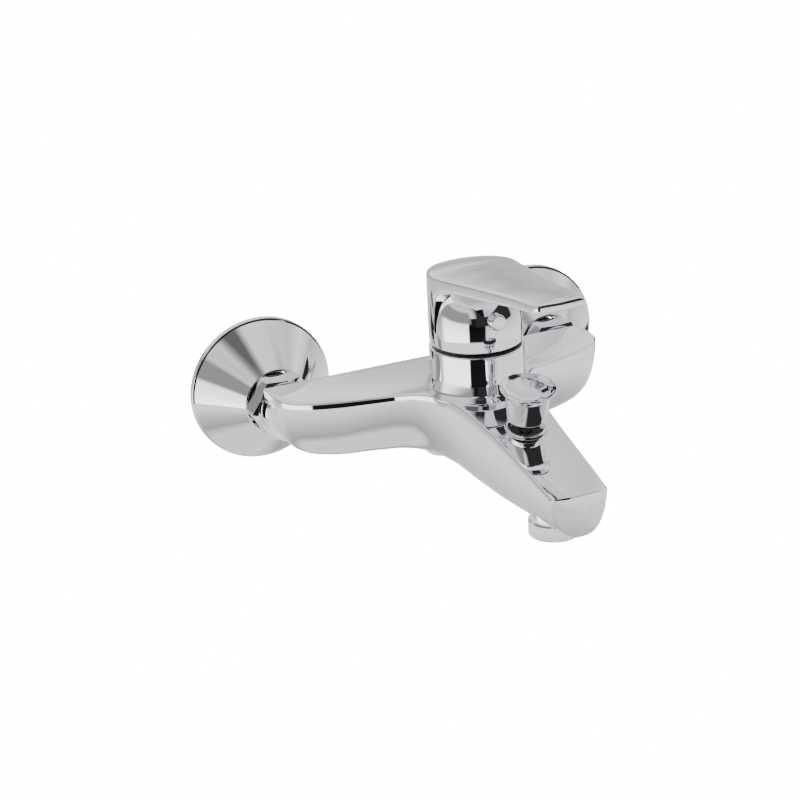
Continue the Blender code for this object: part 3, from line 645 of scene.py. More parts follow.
def build_grille_tree() -> bpy.types.NodeTree:
    """Two crossed rows of fine bars, each as long as a round opening is wide there.

    Returns:
        Geometry tree with inputs Span, Count, Bar and Material.
    """
    g = new_geometry_tree("crossed_bars", [("Span", "NodeSocketFloat", 0.014),
                                           ("Count", "NodeSocketInt", 9),
                                           ("Bar", "NodeSocketFloat", 0.0005)])
    n = Nodes(g)
    inp = n.add("NodeGroupInput").outputs
    half = n.math("MULTIPLY", inp["Span"], 0.5)
    neg = n.math("MULTIPLY", half, -1.0)
    parts = []
    for along in (0, 1):
        start = n.add("ShaderNodeCombineXYZ", {along: neg})
        end = n.add("ShaderNodeCombineXYZ", {along: half})
        line = n.add("GeometryNodeMeshLine", {"Count": inp["Count"],
                                              "Start Location": start.outputs[0],
                                              "Offset": end.outputs[0]}, mode="END_POINTS")
        # The bar at offset d across a round opening is 2*sqrt(h*h - d*d) long.
        pos = n.add("GeometryNodeInputPosition")
        dist = n.add("ShaderNodeVectorMath", {0: pos.outputs[0]}, operation="LENGTH")
        gap = n.math("SUBTRACT", n.math("POWER", half, 2.0),
                     n.math("POWER", dist.outputs[1], 2.0))
        root = n.math("POWER", n.math("MAXIMUM", gap, 1e-7), 0.5)
        length = n.math("MULTIPLY", root, 2.0)
        size = n.add("ShaderNodeCombineXYZ", {along: inp["Bar"], 1 - along: length,
                                              2: inp["Bar"]})
        cube = n.add("GeometryNodeMeshCube", {"Size": (1.0, 1.0, 1.0)})
        rows = n.add("GeometryNodeInstanceOnPoints", {"Points": line.outputs["Mesh"],
                                                      "Instance": cube.outputs["Mesh"],
                                                      "Scale": size.outputs[0]})
        parts.append(rows.outputs["Instances"])
    join = n.add("GeometryNodeJoinGeometry")
    for p in parts:
        g.links.new(p, join.inputs[0])
    close_tree(g, join.outputs[0], inp["Material"])
    return g


def grown(name: str, tree: bpy.types.NodeTree, values: dict[str, object],
          place: Matrix, finish: Finish) -> bpy.types.Object:
    """Run a geometry tree once and keep its result as a plain mesh.

    Args:
        name: Object name.
        tree: Geometry tree.
        values: Inputs by socket name.
        place: Where the result goes, in metres.
        finish: Finish handed to the tree.

    Returns:
        Object at the origin with a plain mesh.
    """
    ob = bpy.data.objects.new(name, bpy.data.meshes.new(name))
    bpy.context.scene.collection.objects.link(ob)
    mod = ob.modifiers.new("grow", "NODES")
    mod.node_group = tree
    for item in tree.interface.items_tree:
        if item.item_type == "SOCKET" and item.in_out == "INPUT":
            if item.name in values:
                mod[item.identifier] = values[item.name]
            elif item.name == "Material":
                mod[item.identifier] = finish.material()
    plain(ob)
    ob.data.transform(place)
    return ob


def metres(m: Matrix) -> Matrix:
    """The same placement with its millimetre shift turned into metres.

    Args:
        m: Placement in millimetres.

    Returns:
        Placement in metres.
    """
    out = m.copy()
    out.translation = m.translation * MM
    return out


# --------------------------------------------------------------- body

@dataclass
class Station:
    """One section of the hull: top edge, its outward direction, keel and curve power."""

    edge: Vector
    out: Vector
    keel: Vector
    power: float


@dataclass
class MixerBody:
    """Cast body: cross arms, sloping spout and round cartridge housing."""

    # x, y, z of the top edge, then x, y, z of the keel it curves under to
    edge: list[tuple[float, ...]] = field(default_factory=lambda: [
        (-86.5, -52.0, 14.0, -66.0, -53.0, -16.6),
        (-86.1, -56.0, 14.0, -66.0, -53.4, -16.8),
        (-84.6, -60.2, 14.0, -65.0, -54.0, -17.2),
        (-80.8, -65.0, 14.1, -63.0, -55.0, -17.8),
        (-73.5, -70.4, 14.4, -58.0, -56.0, -18.5),
        (-62.5, -76.0, 15.0, -51.0, -57.0, -19.0),
        (-53.6, -80.1, 15.7, -42.0, -57.0, -19.2),
        (-44.8, -84.2, 16.5, -31.0, -58.0, -19.4),
        (-36.8, -88.8, 17.6, -18.0, -61.0, -19.9),
        (-29.4, -96.0, 19.0, -6.0, -70.0, -21.4),
        (-24.0, -107.0, 19.9, 0.0, -88.0, -23.8),
        (-20.4, -120.0, 19.2, 0.0, -108.0, -25.6),
        (-18.0, -138.0, 16.1, 0.0, -131.0, -25.8),
        (-16.5, -155.0, 12.6, 0.0, -152.0, -24.6),
        (-15.5, -175.0, 7.9, 0.0, -174.0, -22.3),
        (-14.9, -189.0, 4.5, 0.0, -189.0, -20.4),
        (-14.3, -200.0, 1.5, 0.0, -200.0, -19.0)])
    crown: list[tuple[float, float]] = field(default_factory=lambda: [
        (-38.0, 14.0), (-60.0, 16.0), (-84.0, 18.2), (-97.0, 19.8), (-107.0, 20.4),
        (-120.0, 19.9), (-138.0, 16.9), (-155.0, 13.3), (-175.0, 8.8), (-200.0, 2.6)])
    half_span: float = 86.5
    rear_y: float = -38.0
    arm_z: float = 14.0
    soft: float = 1.1
    soft_steps: int = 4
    draft: float = 0.08
    columns: int = 56
    drops: int = 30
    edge_steps: int = 7
    # rear wall: keel depth and height, curve power, and how far each goes at the arm's end
    rear_keel: Point2 = (-52.0, -18.6)
    rear_power: float = 3.4
    end_run: float = 20.5
    end_rise: float = 1.8
    end_power: float = 0.6
    # spout end: half width, edge height, foremost place, bulge in plan and lean below the edge
    tip_half: float = 14.3
    tip_z: float = 1.5
    tip_y: float = -204.5
    tip_bulge: float = 4.0
    tip_lean: float = 0.10
    bulge_from: float = -180.0
    bulge_run: float = 20.0
    # size of each ring of the end cap and how far it stands forward
    cap_rings: list[Point2] = field(default_factory=lambda: [
        (1.0, 0.0), (0.992, 0.2), (0.98, 0.32), (0.96, 0.36), (0.9, 0.37), (0.8, 0.38),
        (0.6, 0.4), (0.4, 0.42), (0.2, 0.44), (0.0, 0.45)])
    housing_r: float = 22.8
    housing_top: float = 40.8
    axis_y: float = centre("trim_ring", 1)

    def crown_z(self, y: float) -> float:
        """Height of the ridge of the top face at a given depth.

        Args:
            y: Place along Y.

        Returns:
            Height of the ridge.
        """
        pts = self.crown
        for i, (a, b) in enumerate(zip(pts[:-1], pts[1:])):
            if b[0] <= y <= a[0]:
                t = (y - a[0]) / (b[0] - a[0])
                p, q = pts[max(0, i - 1)], pts[min(len(pts) - 1, i + 2)]
                ma = (b[1] - p[1]) / (b[0] - p[0]) * (b[0] - a[0])
                mb = (q[1] - a[1]) / (q[0] - a[0]) * (b[0] - a[0])
                return ((2 * t ** 3 - 3 * t * t + 1) * a[1] + (t ** 3 - 2 * t * t + t) * ma
                        + (3 * t * t - 2 * t ** 3) * b[1] + (t ** 3 - t * t) * mb)
        return pts[-1][1] if y < pts[-1][0] else pts[0][1]

    def rim(self) -> list[Station]:
        """Stations round the left half of the top edge, from rear centre to spout corner.

        Returns:
            The stations in order.
        """
        stations: list[Station] = []
        half = self.columns // 2
        keel_y, keel_z = self.rear_keel
        for i in range(half + 1):
            x = -self.half_span * i / half
            end = (i / half) ** 3
            keel = Vector((x + self.end_run * end, keel_y, keel_z + self.end_rise * end))
            stations.append(Station(Vector((x, self.rear_y, self.arm_z)), Vector((0, 1)), keel,
                                    self.rear_power - self.end_power * end))
        # the rear corner of the arm looks out diagonally
        stations[-1].out = Vector((-0.7071, 0.7071))
        side_power = self.rear_power - self.end_power
        front = catmull(self.edge, self.edge_steps)
        for j in range(1, 5):
            y = self.rear_y + (front[0][1] - self.rear_y) * j / 5
            keel = Vector((self.end_run - self.half_span, keel_y - 0.2 * j,
                           keel_z + self.end_rise + 0.04 * j))
            stations.append(Station(Vector((-self.half_span, y, self.arm_z)), Vector((-1, 0)),
                                    keel, side_power))
        for j, row in enumerate(front):
            a = Vector(front[max(j - 1, 0)][:2])
            b = Vector(front[min(j + 1, len(front) - 1)][:2])
            t = (b - a).normalized()
            s = j / (len(front) - 1)
            stations.append(Station(Vector(row[:3]), Vector((t.y, -t.x)), Vector(row[3:]),
                                    side_power - 0.3 * min(1.0, s * 1.4)))
        return stations

    def bulged(self, p: Vector) -> Vector:
        """Push a point near the spout end forward so that the end is convex in plan.

        Args:
            p: Point of the skin.

        Returns:
            The moved point.
        """
        depth = max(0.0, (self.bulge_from - p.y) / self.bulge_run) ** 2
        lean = self.tip_lean * max(0.0, self.tip_z - p.z)
        bulge = self.tip_bulge * (1 - (p.x / self.tip_half) ** 2)
        return Vector((p.x, p.y + depth * (lean - bulge), p.z))

    def hull(self) -> bpy.types.Object:
        """Skin of arms and spout: crowned top, soft edge, curved sides, domed end.

        Returns:
            Closed mesh object.
        """
        verts: list[Vector] = []
        faces: list[list[int]] = []

        def sheet(grid: list[list[Vector]]) -> None:
            """Append one grid of points as quads.

            Args:
                grid: Rows of points of equal length.
            """
            base, wide = len(verts), len(grid[0])
            for row in grid:
                verts.extend(row)
            for r in range(len(grid) - 1):
                for c in range(wide - 1):
                    i = base + r * wide + c
                    faces.append([i, i + 1, i + wide + 1, i + wide])

        half = self.columns // 2
        side: list[list[Vector]] = []
        for st in self.rim():
            e, nrm, keel, power = st.edge, st.out, st.keel, st.power
            start = Vector((e.x, e.y, e.z - self.soft))
            col: list[Vector] = []
            for k in range(self.soft_steps + 1):
                a = math.pi / 2 * k / self.soft_steps
                inset = self.soft * (1 - math.sin(a))
                col.append(Vector((e.x - nrm.x * inset, e.y - nrm.y * inset,
                                   e.z - self.soft * (1 - math.cos(a)))))
            for k in range(1, self.drops + 1):
                a = math.pi / 2 * k / self.drops
                v = math.sin(a) ** (2 / power)
                h = (1 - max(0.0, math.cos(a)) ** (2 / power)) * (1 - self.draft) + v * self.draft
                col.append(Vector((start.x + (keel.x - start.x) * h,
                                   start.y + (keel.y - start.y) * h,
                                   start.z + (keel.z - start.z) * v)))
            side.append([self.bulged(p) for p in col])
        for col in side:
            for p in col:
                p.x = min(p.x, 0.0)
        mirrored = [[Vector((-p.x, p.y, p.z)) for p in col] for col in side]
        sheet(side)
        sheet(mirrored)
        top: list[list[Vector]] = [[]]
        for c in range(self.columns + 1):
            src = side[half - c][0] if c <= half else mirrored[c - half][0]
            top[0].append(src.copy())
        for i in range(half + 1, len(side)):
            left = side[i][0]
            row = []
            ridge = self.crown_z(left.y)
            for c in range(self.columns + 1):
                u = -1 + 2 * c / self.columns
                p = Vector((-left.x * u, left.y, left.z + (ridge - left.z) * (1 - u * u)))
                row.append(self.bulged(p) if left.y < self.bulge_from else p)
            row[0], row[-1] = left.copy(), mirrored[i][0].copy()
            top.append(row)
        sheet(top)
        # underside centre of the arms, between the two keels
        keel_l = [col[-1] for col in side]
        keel_r = [col[-1] for col in mirrored]
        sheet([[a, (a + b) / 2, b] for a, b in zip(keel_l, keel_r)])
        loop = top[-1] + mirrored[-1][1:] + [side[-1][k] for k in range(len(side[-1]) - 2, 0, -1)]
        loop.append(loop[0])
        # the end: rings that shrink towards a point a little above its middle
        mid_z = (top[-1][half].z + side[-1][-1].z) / 2 + 0.5
        cap = []
        for f, push in self.cap_rings:
            row = []
            for p in loop:
                x, z = p.x * f, mid_z + (p.z - mid_z) * f
                y = (self.tip_y - push + self.tip_bulge * (x / self.tip_half) ** 2 + 0.4 * f * f
                     + self.tip_lean * max(0.0, self.tip_z - z))
                row.append(Vector((x, p.y if f == 1.0 else y, z)))
            cap.append(row)
        sheet(cap)
        return write_mesh("body_hull", verts, faces, 60.0)

    def housing(self) -> bpy.types.Object:
        """Round cartridge housing that flares into the top of the body.

        Returns:
            The new object.
        """
        r, top = self.housing_r, self.housing_top
        prof = rounded([(17.9, 12.0), (17.9, 34.0), (19.9, 34.0), (19.9, 39.2), (21.6, 39.2),
                        (21.6, top, 0.25), (r, top, 0.9), (r, 27.0, 6.0), (24.1, 21.9, 4.0),
                        (26.2, 19.0, 1.0), (24.0, 12.0), (17.9, 12.0)], 8)
        return turned("cartridge_housing", prof, (0, self.axis_y, 0), steps=128, sharp=50)

    def build(self) -> None:
        """Make, dress and mount the body's pieces."""
        hull = self.hull()
        lean = Diverter().axis
        foot = Vector((0, Diverter.foot_y, 0))
        spout_y, shower_y = Outlets.spout_y, Outlets.shower_y
        boolean(hull, [rod("collar_seat", 10.0, foot + lean * 12.6, foot + lean * 30, 96),
                       rod("stem_bore", 7.0, foot + lean * -15, foot + lean * 20, 48),
                       rod("aerator_bore", 11.3, (0, spout_y, -40), (0, spout_y, -9), 64),
                       rod("cartridge_bore", 17.9, (0, self.axis_y, 10), (0, self.axis_y, 40), 64),
                       rod("shower_bore", 7.5, (0, shower_y, -40), (0, shower_y, -12), 48)],
                "DIFFERENCE")
        shade(hull, 60.0)
        fit(hull, CHROME, Body.MIXER, ["body_casting"])
        fit(self.housing(), CHROME, Body.MIXER)


# --------------------------------------------------------------- wall side

@dataclass
class WallConnection:
    """One inlet: wall plate, eccentric connector, hexagon nut and body tail."""

    side: Side
    drop: float = 5.0

    @property
    def x(self) -> float:
        """X of this inlet."""
        return centre("escutcheon_" + self.side.value, 0)

    def plate(self) -> bpy.types.Object:
        """Cone plate with a rolled rim band and an inner threaded web.

        Returns:
            The new object.
        """
        node = "escutcheon_" + self.side.value
        r, d = half_size(node, 0), 2 * half_size(node, 1)
        prof = rounded([(26.2, 11.1), (r - 2.4, 2.6, 0.6), (r - 1.6, 0.0, 0.3), (r, 0.0, 0.4),
                        (r, 3.5, 0.45), (r - 1.1, 4.0, 0.5), (16.7, d, 0.7), (15.5, d, 0.4),
                        (24.0, 13.9, 0.3), (13.4, 13.9, 0.2), (13.4, 11.1, 0.2), (26.2, 11.1)], 5)
        return turned("wall_plate_" + self.side.value, prof, (self.x, 0, 0), (0, -1, 0), 160, 32)

    def nut(self) -> bpy.types.Object:
        """Hexagon union nut with turned chamfers at both ends.

        Returns:
            The new object.
        """
        node = "union_nut_" + self.side.value
        y1, y0 = (-y for y in span(node, 1))
        flat = half_size(node, 0)
        rc = flat / math.cos(math.pi / 6)
        hexagon = turned("union_nut_shell_" + self.side.value,
                         [(0, y0), (rc, y0), (rc, y1), (0, y1)], (self.x, 0, 0), (0, -1, 0), 6)
        m = hexagon.modifiers.new("soft", "BEVEL")
        m.width, m.segments, m.limit_method = 0.5 * MM, 3, "ANGLE"
        m.angle_limit = math.radians(30)
        plain(hexagon)
        cone = turned("t", rounded([(0, y0), (flat - 0.5, y0, 0.3), (rc + 0.4, y0 + 1.8),
                                    (rc + 0.4, y1 - 1.8), (flat - 0.5, y1, 0.3), (0, y1)]),
                      (self.x, 0, 0), (0, -1, 0), 120)
        boolean(hexagon, [cone], "INTERSECT")
        boolean(hexagon, [rod("t", 13.3, (self.x, -20, 0), (self.x, -33.6, 0), 64),
                          rod("t", 11.3, (self.x, -20, 0), (self.x, -50, 0), 64)], "DIFFERENCE")
        shade(hexagon, 24.0)
        return hexagon

    def tail(self) -> bpy.types.Object:
        """Neck of the body that the nut turns on.

        Returns:
            The new object.
        """
        prof = rounded([(7.5, 46.0), (13.4, 46.0), (12.9, 37.8, 0.5), (11.0, 37.6, 0.3),
                        (11.0, 33.4, 0.2), (12.9, 33.2, 0.3), (12.9, 31.4, 0.3), (7.5, 31.4, 0.3),
                        (7.5, 46.0)])
        return turned("body_tail_" + self.side.value, prof, (self.x, 0, 0), (0, -1, 0), 96)

    def connector(self) -> bpy.types.Object:
        """Eccentric connector with its offset wall stub and a bore right through.

        Returns:
            The new object.
        """
        front = turned("wall_connector_" + self.side.value,
                       rounded([(0, 28.9), (13.0, 28.9, 0.8), (13.0, 0.0, 2.0), (11.5, -1.0, 0.3),
                                (0, -1.0)]), (self.x, 0, 0), (0, -1, 0), 72)
        stub = turned("t", rounded([(0, 6.0), (9.7, 6.0), (9.7, -14.0, 0.8), (0, -14.0)]),
                      (self.x, 0, -self.drop), (0, -1, 0), 72)
        boolean(front, [stub], "UNION")
        boolean(front, [rod("t", 7.5, (self.x, 2, 0), (self.x, -35, 0), 48),
                        rod("t", 6.4, (self.x, 20, -self.drop), (self.x, -6, -self.drop), 48)],
                "DIFFERENCE")
        shade(front, 35.0)
        return front

    def thread(self, tree: bpy.types.NodeTree) -> bpy.types.Object:
        """Raised helical thread of the wall stub.

        Args:
            tree: Geometry tree of the wound ridge.

        Returns:
            The new object.
        """
        place = metres(frame_for((self.x, 1.5, -self.drop), (0, 1, 0)))
        return grown("wall_thread_" + self.side.value, tree,
                     {"Radius": 9.75 * MM, "Height": 11.0 * MM, "Turns": 6.0, "Wire": 0.62 * MM,
                      "Sides": 4}, place, NICKEL)

    def build(self, helix: bpy.types.NodeTree) -> None:
        """Make, dress and mount the pieces of this inlet.

        Args:
            helix: Geometry tree of the wound ridge.
        """
        word = self.side.value
        nut_body = Body("nut_" + word)
        fit(self.plate(), CHROME, Body.MIXER, ["escutcheon_" + word])
        fit(self.tail(), CHROME, Body.MIXER)
        fit(self.connector(), NICKEL, Body.MIXER, ["s_union_" + word])
        fit(self.thread(helix), NICKEL, Body.MIXER)
        fit(self.nut(), CHROME, nut_body, ["union_nut_" + word])


# --------------------------------------------------------------- lever

@dataclass
class Lever:
    """Lever handle: wrapped hood that runs out into a flat blade, over a dome."""

    axis_y: float = centre("trim_ring", 1)
    rim_z: float = 42.6
    radius: float = 22.6
    plug_z: float = centre("index_plug", 2)
    # steps across the blade, edge radii above and below, and how far the top is crowned
    across: int = 14
    soft_top: float = 2.2
    soft_low: float = 0.7
    crown: float = 1.2
    # how far the top falls towards the back, softness of the tip's corners, rear relief
    rear_fall: float = 1.8
    tip_soft: float = 1.6
    relief_angle: float = 30.0
    # y, half width, top height, under height, from just behind the neck to the tip
    blade: list[tuple[float, ...]] = field(default_factory=lambda: [
        (-99.0, 22.6, 78.2, 42.6), (-100.6, 22.55, 78.3, 42.6), (-101.2, 22.5, 78.35, 58.0),
        (-102.0, 22.4, 78.4, 64.5), (-104.0, 22.1, 78.6, 68.8), (-108.0, 21.6, 79.0, 71.6),
        (-114.0, 20.6, 79.7, 73.4), (-124.0, 18.8, 80.8, 74.8), (-136.0, 17.0, 82.3, 76.2),
        (-150.0, 15.4, 84.0, 78.2), (-165.0, 14.1, 86.0, 80.8), (-178.0, 13.2, 87.4, 82.6),
        (-184.6, 12.8, 88.1, 83.4)])
    tip_y: float = -187.0

    def stations(self) -> list[tuple[float, float, float, float]]:
        """Sections of the hood as (y, half width, top, under), back to front.

        Returns:
            The sections in order.
        """
        out: list[tuple[float, float, float, float]] = []
        steps = 30
        for i in range(steps):
            a = math.pi / 2 * i / steps
            y = self.axis_y + self.radius * math.cos(a)
            top = self.blade[0][2] - self.rear_fall * math.cos(a) ** 1.6
            out.append((y, self.radius * math.sin(a), top, self.rim_z))
        for row in catmull(self.blade, 7):
            out.append((row[0], row[1], row[2], max(row[3], self.rim_z)))
        y, w, top, low = self.blade[-1]
        steps, soft = 7, self.tip_soft
        for i in range(1, steps + 1):
            a = math.pi / 2 * i / steps
            out.append((y - soft * math.sin(a) - 0.8 * (i / steps) ** 2,
                        w - soft * (1 - math.cos(a)), top + 0.15 * i / steps,
                        low + 0.1 * i / steps))
        for f in (0.8, 0.6, 0.4, 0.2, 0.0):
            out.append((self.tip_y - 0.9 * (1 - f), (w - soft) * f, top + 0.2, low + 0.1))
        return out

    def hood(self) -> bpy.types.Object:
        """Loft of rounded sections that follow the plan outline.

        Returns:
            The new object.
        """
        st = self.stations()
        rings: list[list[Vector]] = []
        for j, (y, w, top, low) in enumerate(st):
            a, b = st[max(0, j - 1)], st[min(len(st) - 1, j + 1)]
            t = Vector((b[1] - a[1], b[0] - a[0]))
            t = t.normalized() if t.length > 1e-6 else Vector((1, 0))
            nx, ny = -t.y, t.x
            if j == 0:
                nx, ny = 0.0, 1.0
            if j == len(st) - 1:
                nx, ny = 0.0, -1.0
            ring: list[Vector] = []
            s_top = min(self.soft_top, (top - low) * 0.42)
            s_low = min(self.soft_low, (top - low) * 0.25)
            right: list[Point2] = []
            for k in range(7):
                q = math.pi / 2 * k / 6
                right.append((s_top * (1 - math.sin(q)), top - s_top * (1 - math.cos(q))))
            for k in range(5):
                q = math.pi / 2 * k / 4
                right.append((s_low * (1 - math.cos(q)), low + s_low * (1 - math.sin(q))))
            r_pts = [Vector((max(0.0, w - nx * i), y - ny * i, z)) for i, z in right]
            l_pts = [Vector((-p.x, p.y, p.z)) for p in r_pts]
            ring += r_pts
            lo_r, lo_l = r_pts[-1], l_pts[-1]
            for k in range(1, self.across):
                ring.append(lo_r.lerp(lo_l, k / self.across))
            ring += list(reversed(l_pts))
            hi_l, hi_r = l_pts[0], r_pts[0]
            arch = min(1.0, (hi_r.x - hi_l.x) / 40.0)
            for k in range(1, self.across):
                u = k / self.across
                p = hi_l.lerp(hi_r, u)
                p.z += arch * self.crown * (1 - (2 * u - 1) ** 2)
                ring.append(p)
            rings.append(ring)
        n = len(rings[0])
        verts = [p for ring in rings for p in ring]
        faces = []
        for r in range(len(rings) - 1):
            for c in range(n):
                faces.append([r * n + c, r * n + (c + 1) % n, (r + 1) * n + (c + 1) % n,
                              (r + 1) * n + c])
        return write_mesh("lever_hood", verts, faces, 60.0)

    def dome(self) -> bpy.types.Object:
        """Polished dome under the blade, with its skirt.

        Returns:
            The new object.
        """
        r = self.radius - 0.6
        arc = [(r * math.cos(math.pi / 2 * i / 24), 52.0 + 23.5 * math.sin(math.pi / 2 * i / 24))
               for i in range(25)]
        prof = rounded([(0, self.rim_z), (r, self.rim_z, 0.5), arc[0]], 5) + arc[1:]
        return turned("lever_dome", prof, (0, self.axis_y, 0), steps=128, sharp=50)

    def hollow(self, name: str) -> bpy.types.Object:
        """Tool for the space inside the skirt."""
        return turned(name, rounded([(0, 68.5), (9, 67.6), (14.5, 64.4), (18.2, 59.6), (19.6, 54.0),
                                     (19.6, 38.0), (0, 38.0)]), (0, self.axis_y, 0), steps=96)

    def relief(self, name: str) -> bpy.types.Object:
        """Tool that lifts the rear of the skirt's edge, so that the lever can tilt.

        Args:
            name: Object name.

        Returns:
            The new object.
        """
        z, near, far = self.rim_z, self.axis_y + 4, self.axis_y + 30
        rise = (far - near) * math.tan(math.radians(self.relief_angle))
        below, half_width = z - 5, 40
        pts = [(near, below), (near, z - 0.02), (far, z + rise), (far, below)]
        verts = [(x, a, b) for x in (-half_width, half_width) for a, b in pts]
        faces = [(0, 1, 2, 3), (4, 5, 6, 7), (0, 1, 5, 4), (1, 2, 6, 5), (2, 3, 7, 6), (3, 0, 4, 7)]
        return write_mesh(name, verts, faces)

    def build(self) -> None:
        """Make, dress and mount the lever's pieces."""
        hood = boolean(self.hood(), [self.hollow("t1"), self.relief("t2")], "DIFFERENCE")
        shade(hood, 60.0)
        dome = boolean(self.dome(), [self.hollow("t1"), self.relief("t2"),
                                     rod("t3", 2.8, (0, self.axis_y - 15, self.plug_z),
                                         (0, self.axis_y - 30, self.plug_z), 32)], "DIFFERENCE")
        shade(dome, 50.0)
        fit(hood, CHROME, Body.LEVER, ["lever_handle"])
        fit(dome, CHROME, Body.LEVER)
        boss = turned("lever_boss", rounded([(4.0, 72.0), (8.2, 72.0), (7.8, 48.5, 0.4),
                                             (4.6, 48.0, 0.3), (4.6, 60.0), (4.0, 72.0)]),
                      (0, self.axis_y, 0), steps=64)
        fit(boss, CHROME, Body.LEVER)
        plug = turned("index_button", rounded([(0, 25.0), (3.9, 25.0, 0.9), (3.9, 21.0),
                                               (2.5, 20.6), (2.5, 15.0), (0, 14.7)], 6),
                      (0, self.axis_y, self.plug_z), (0, -1, 0), 64)
        fit(plug, CHROME, Body.LEVER, ["index_plug"])


# --------------------------------------------------------------- diverter

@dataclass
class Diverter:
    """Pull-up diverter on the spout: dished knob, stem, collar and spring."""

    foot_y: float = -146.0
    tilt: float = joint_tilt("diverter_pull")
    knob_r: float = 13.2

    @property
    def axis(self) -> Vector:
        """Direction in which the knob pulls."""
        a = math.radians(self.tilt)
        return Vector((0, -math.sin(a), math.cos(a)))

    def build(self, helix: bpy.types.NodeTree) -> None:
        """Make, dress and mount the diverter's visible pieces.

        Args:
            helix: Geometry tree of the wound ridge.
        """
        foot, k = (0, self.foot_y, 0), self.knob_r
        knob = turned("diverter_pull", rounded(
            [(0, 32.3), (k * 0.45, 32.8, 8), (k * 0.82, 34.6, 6), (k, 36.9, 0.25),
             (k - 0.1, 35.6, 0.5), (k - 1.5, 34.2, 2.5), (10.5, 32.2, 2.5), (10.1, 29.0, 4),
             (9.0, 20.4, 1.6), (7.8, 18.4, 0.8), (2.8, 18.4, 0.3), (2.8, 29.4), (0, 29.4)], 8),
            foot, self.axis, 128, 50)
        fit(knob, CHROME, Body.DIVERTER, ["diverter_knob"])
        collar = turned("diverter_collar", rounded(
            [(2.85, 12.2), (6.8, 12.2, 0.4), (8.6, 15.6, 0.4), (9.9, 15.6, 0.5), (9.7, 12.7, 0.2),
             (6.7, 11.4, 0.2), (6.7, 8.0, 0.3), (2.85, 8.0), (2.85, 12.2)], 5),
            foot, self.axis, 96, 50)
        fit(collar, CHROME, Body.MIXER, ["diverter_bonnet"])
        # black rubber ring in the collar's cup, as painted shade: it darkens the cup and mirrors
        # dark in the knob's underside
        shade_ring = turned("diverter_painted_shade_ring", ring_profile(2.9, 7.4, 12.0, 13.4, 0.3), foot,
                       self.axis, 72)
        fit(shade_ring, RUBBER, Body.MIXER)
        stem = turned("diverter_rod", rounded(
            [(0, 29.1), (2.5, 29.1, 0.4), (2.5, -9.8, 0.4), (0, -9.8)]), foot, self.axis, 48)
        fit(stem, CHROME, Body.DIVERTER, ["diverter_stem"])
        spring = grown("return_spring", helix,
                       {"Radius": 4.3 * MM, "Height": 11.1 * MM, "Turns": 5.0, "Wire": 0.45 * MM,
                        "Sides": 10},
                       metres(frame_for(Vector(foot) + self.axis * -3.9, self.axis)), STEEL)
        STEEL.dress(spring)
        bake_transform(spring)
        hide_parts("diverter_spring")
        LOG.info("%s: follows the plunger at its foot", spring.name)


# --------------------------------------------------------------- outlets

@dataclass
class Outlets:
    """Aerator under the spout end and the threaded shower nipple."""

    spout_y: float = centre("aerator_housing", 1)
    aerator_r: float = half_size("aerator_housing", 0)
    shower_y: float = centre("nonreturn_valve_shower", 1)
    key_slots: int = 4
    key_angle: float = -115.0

    def build(self, helix: bpy.types.NodeTree, grille: bpy.types.NodeTree) -> None:
        """Make, dress and mount the outlet pieces.

        Args:
            helix: Geometry tree of the wound ridge.
            grille: Geometry tree of the crossed bars.
        """
        foot, r = (0, self.spout_y, 0), self.aerator_r
        housing = turned("aerator_cup", rounded(
            [(9.9, -13.2), (11.0, -13.2, 0.3), (11.0, -20.6), (r, -20.6), (r, -27.8, 0.7),
             (9.2, -27.8, 0.4), (9.2, -26.4, 0.2), (9.9, -26.4), (9.9, -13.2)], 5), foot, steps=112)
        cuts = []
        for i in range(self.key_slots):
            a = math.radians(self.key_angle + 360.0 * i / self.key_slots)
            x, y = (r + 0.2) * math.cos(a), self.spout_y + (r + 0.2) * math.sin(a)
            cuts.append(rod("t", 0.9, (x, y, -30), (x, y, -24.6), 24))
        boolean(housing, cuts, "DIFFERENCE")
        shade(housing, 40.0)
        fit(housing, CHROME, Body.MIXER, ["aerator_housing"])
        basket = turned("aerator_basket", rounded(
            [(7.9, -16.0), (9.5, -16.0, 0.2), (9.5, -26.1, 0.3), (8.0, -26.1, 0.3), (7.9, -16.0)]),
            foot, steps=80)
        fit(basket, PALE_PLASTIC, Body.MIXER, ["aerator_insert"])
        mesh = grown("aerator_grille", grille, {"Span": 16.2 * MM, "Count": 13, "Bar": 0.45 * MM},
                     Matrix.Translation((0, self.spout_y * MM, -25.2 * MM)), PALE_PLASTIC)
        shade(mesh, 30.0)
        fit(mesh, PALE_PLASTIC, Body.MIXER)
        nipple = turned("shower_nipple", rounded(
            [(7.5, -16.0), (11.4, -16.0), (11.4, -20.6, 0.6), (9.7, -21.0, 0.3), (9.7, -29.5, 0.7),
             (7.5, -29.5, 0.3), (7.5, -16.0)], 5), (0, self.shower_y, 0), steps=96)
        fit(nipple, CHROME, Body.MIXER)
        thread = grown("shower_thread", helix,
                       {"Radius": 9.75 * MM, "Height": 5.4 * MM, "Turns": 3.0, "Wire": 0.62 * MM,
                        "Sides": 4}, Matrix.Translation((0, self.shower_y * MM, -28.2 * MM)),
                       CHROME)
        fit(thread, CHROME, Body.MIXER)


# --------------------------------------------------------------- cartridge and the rest

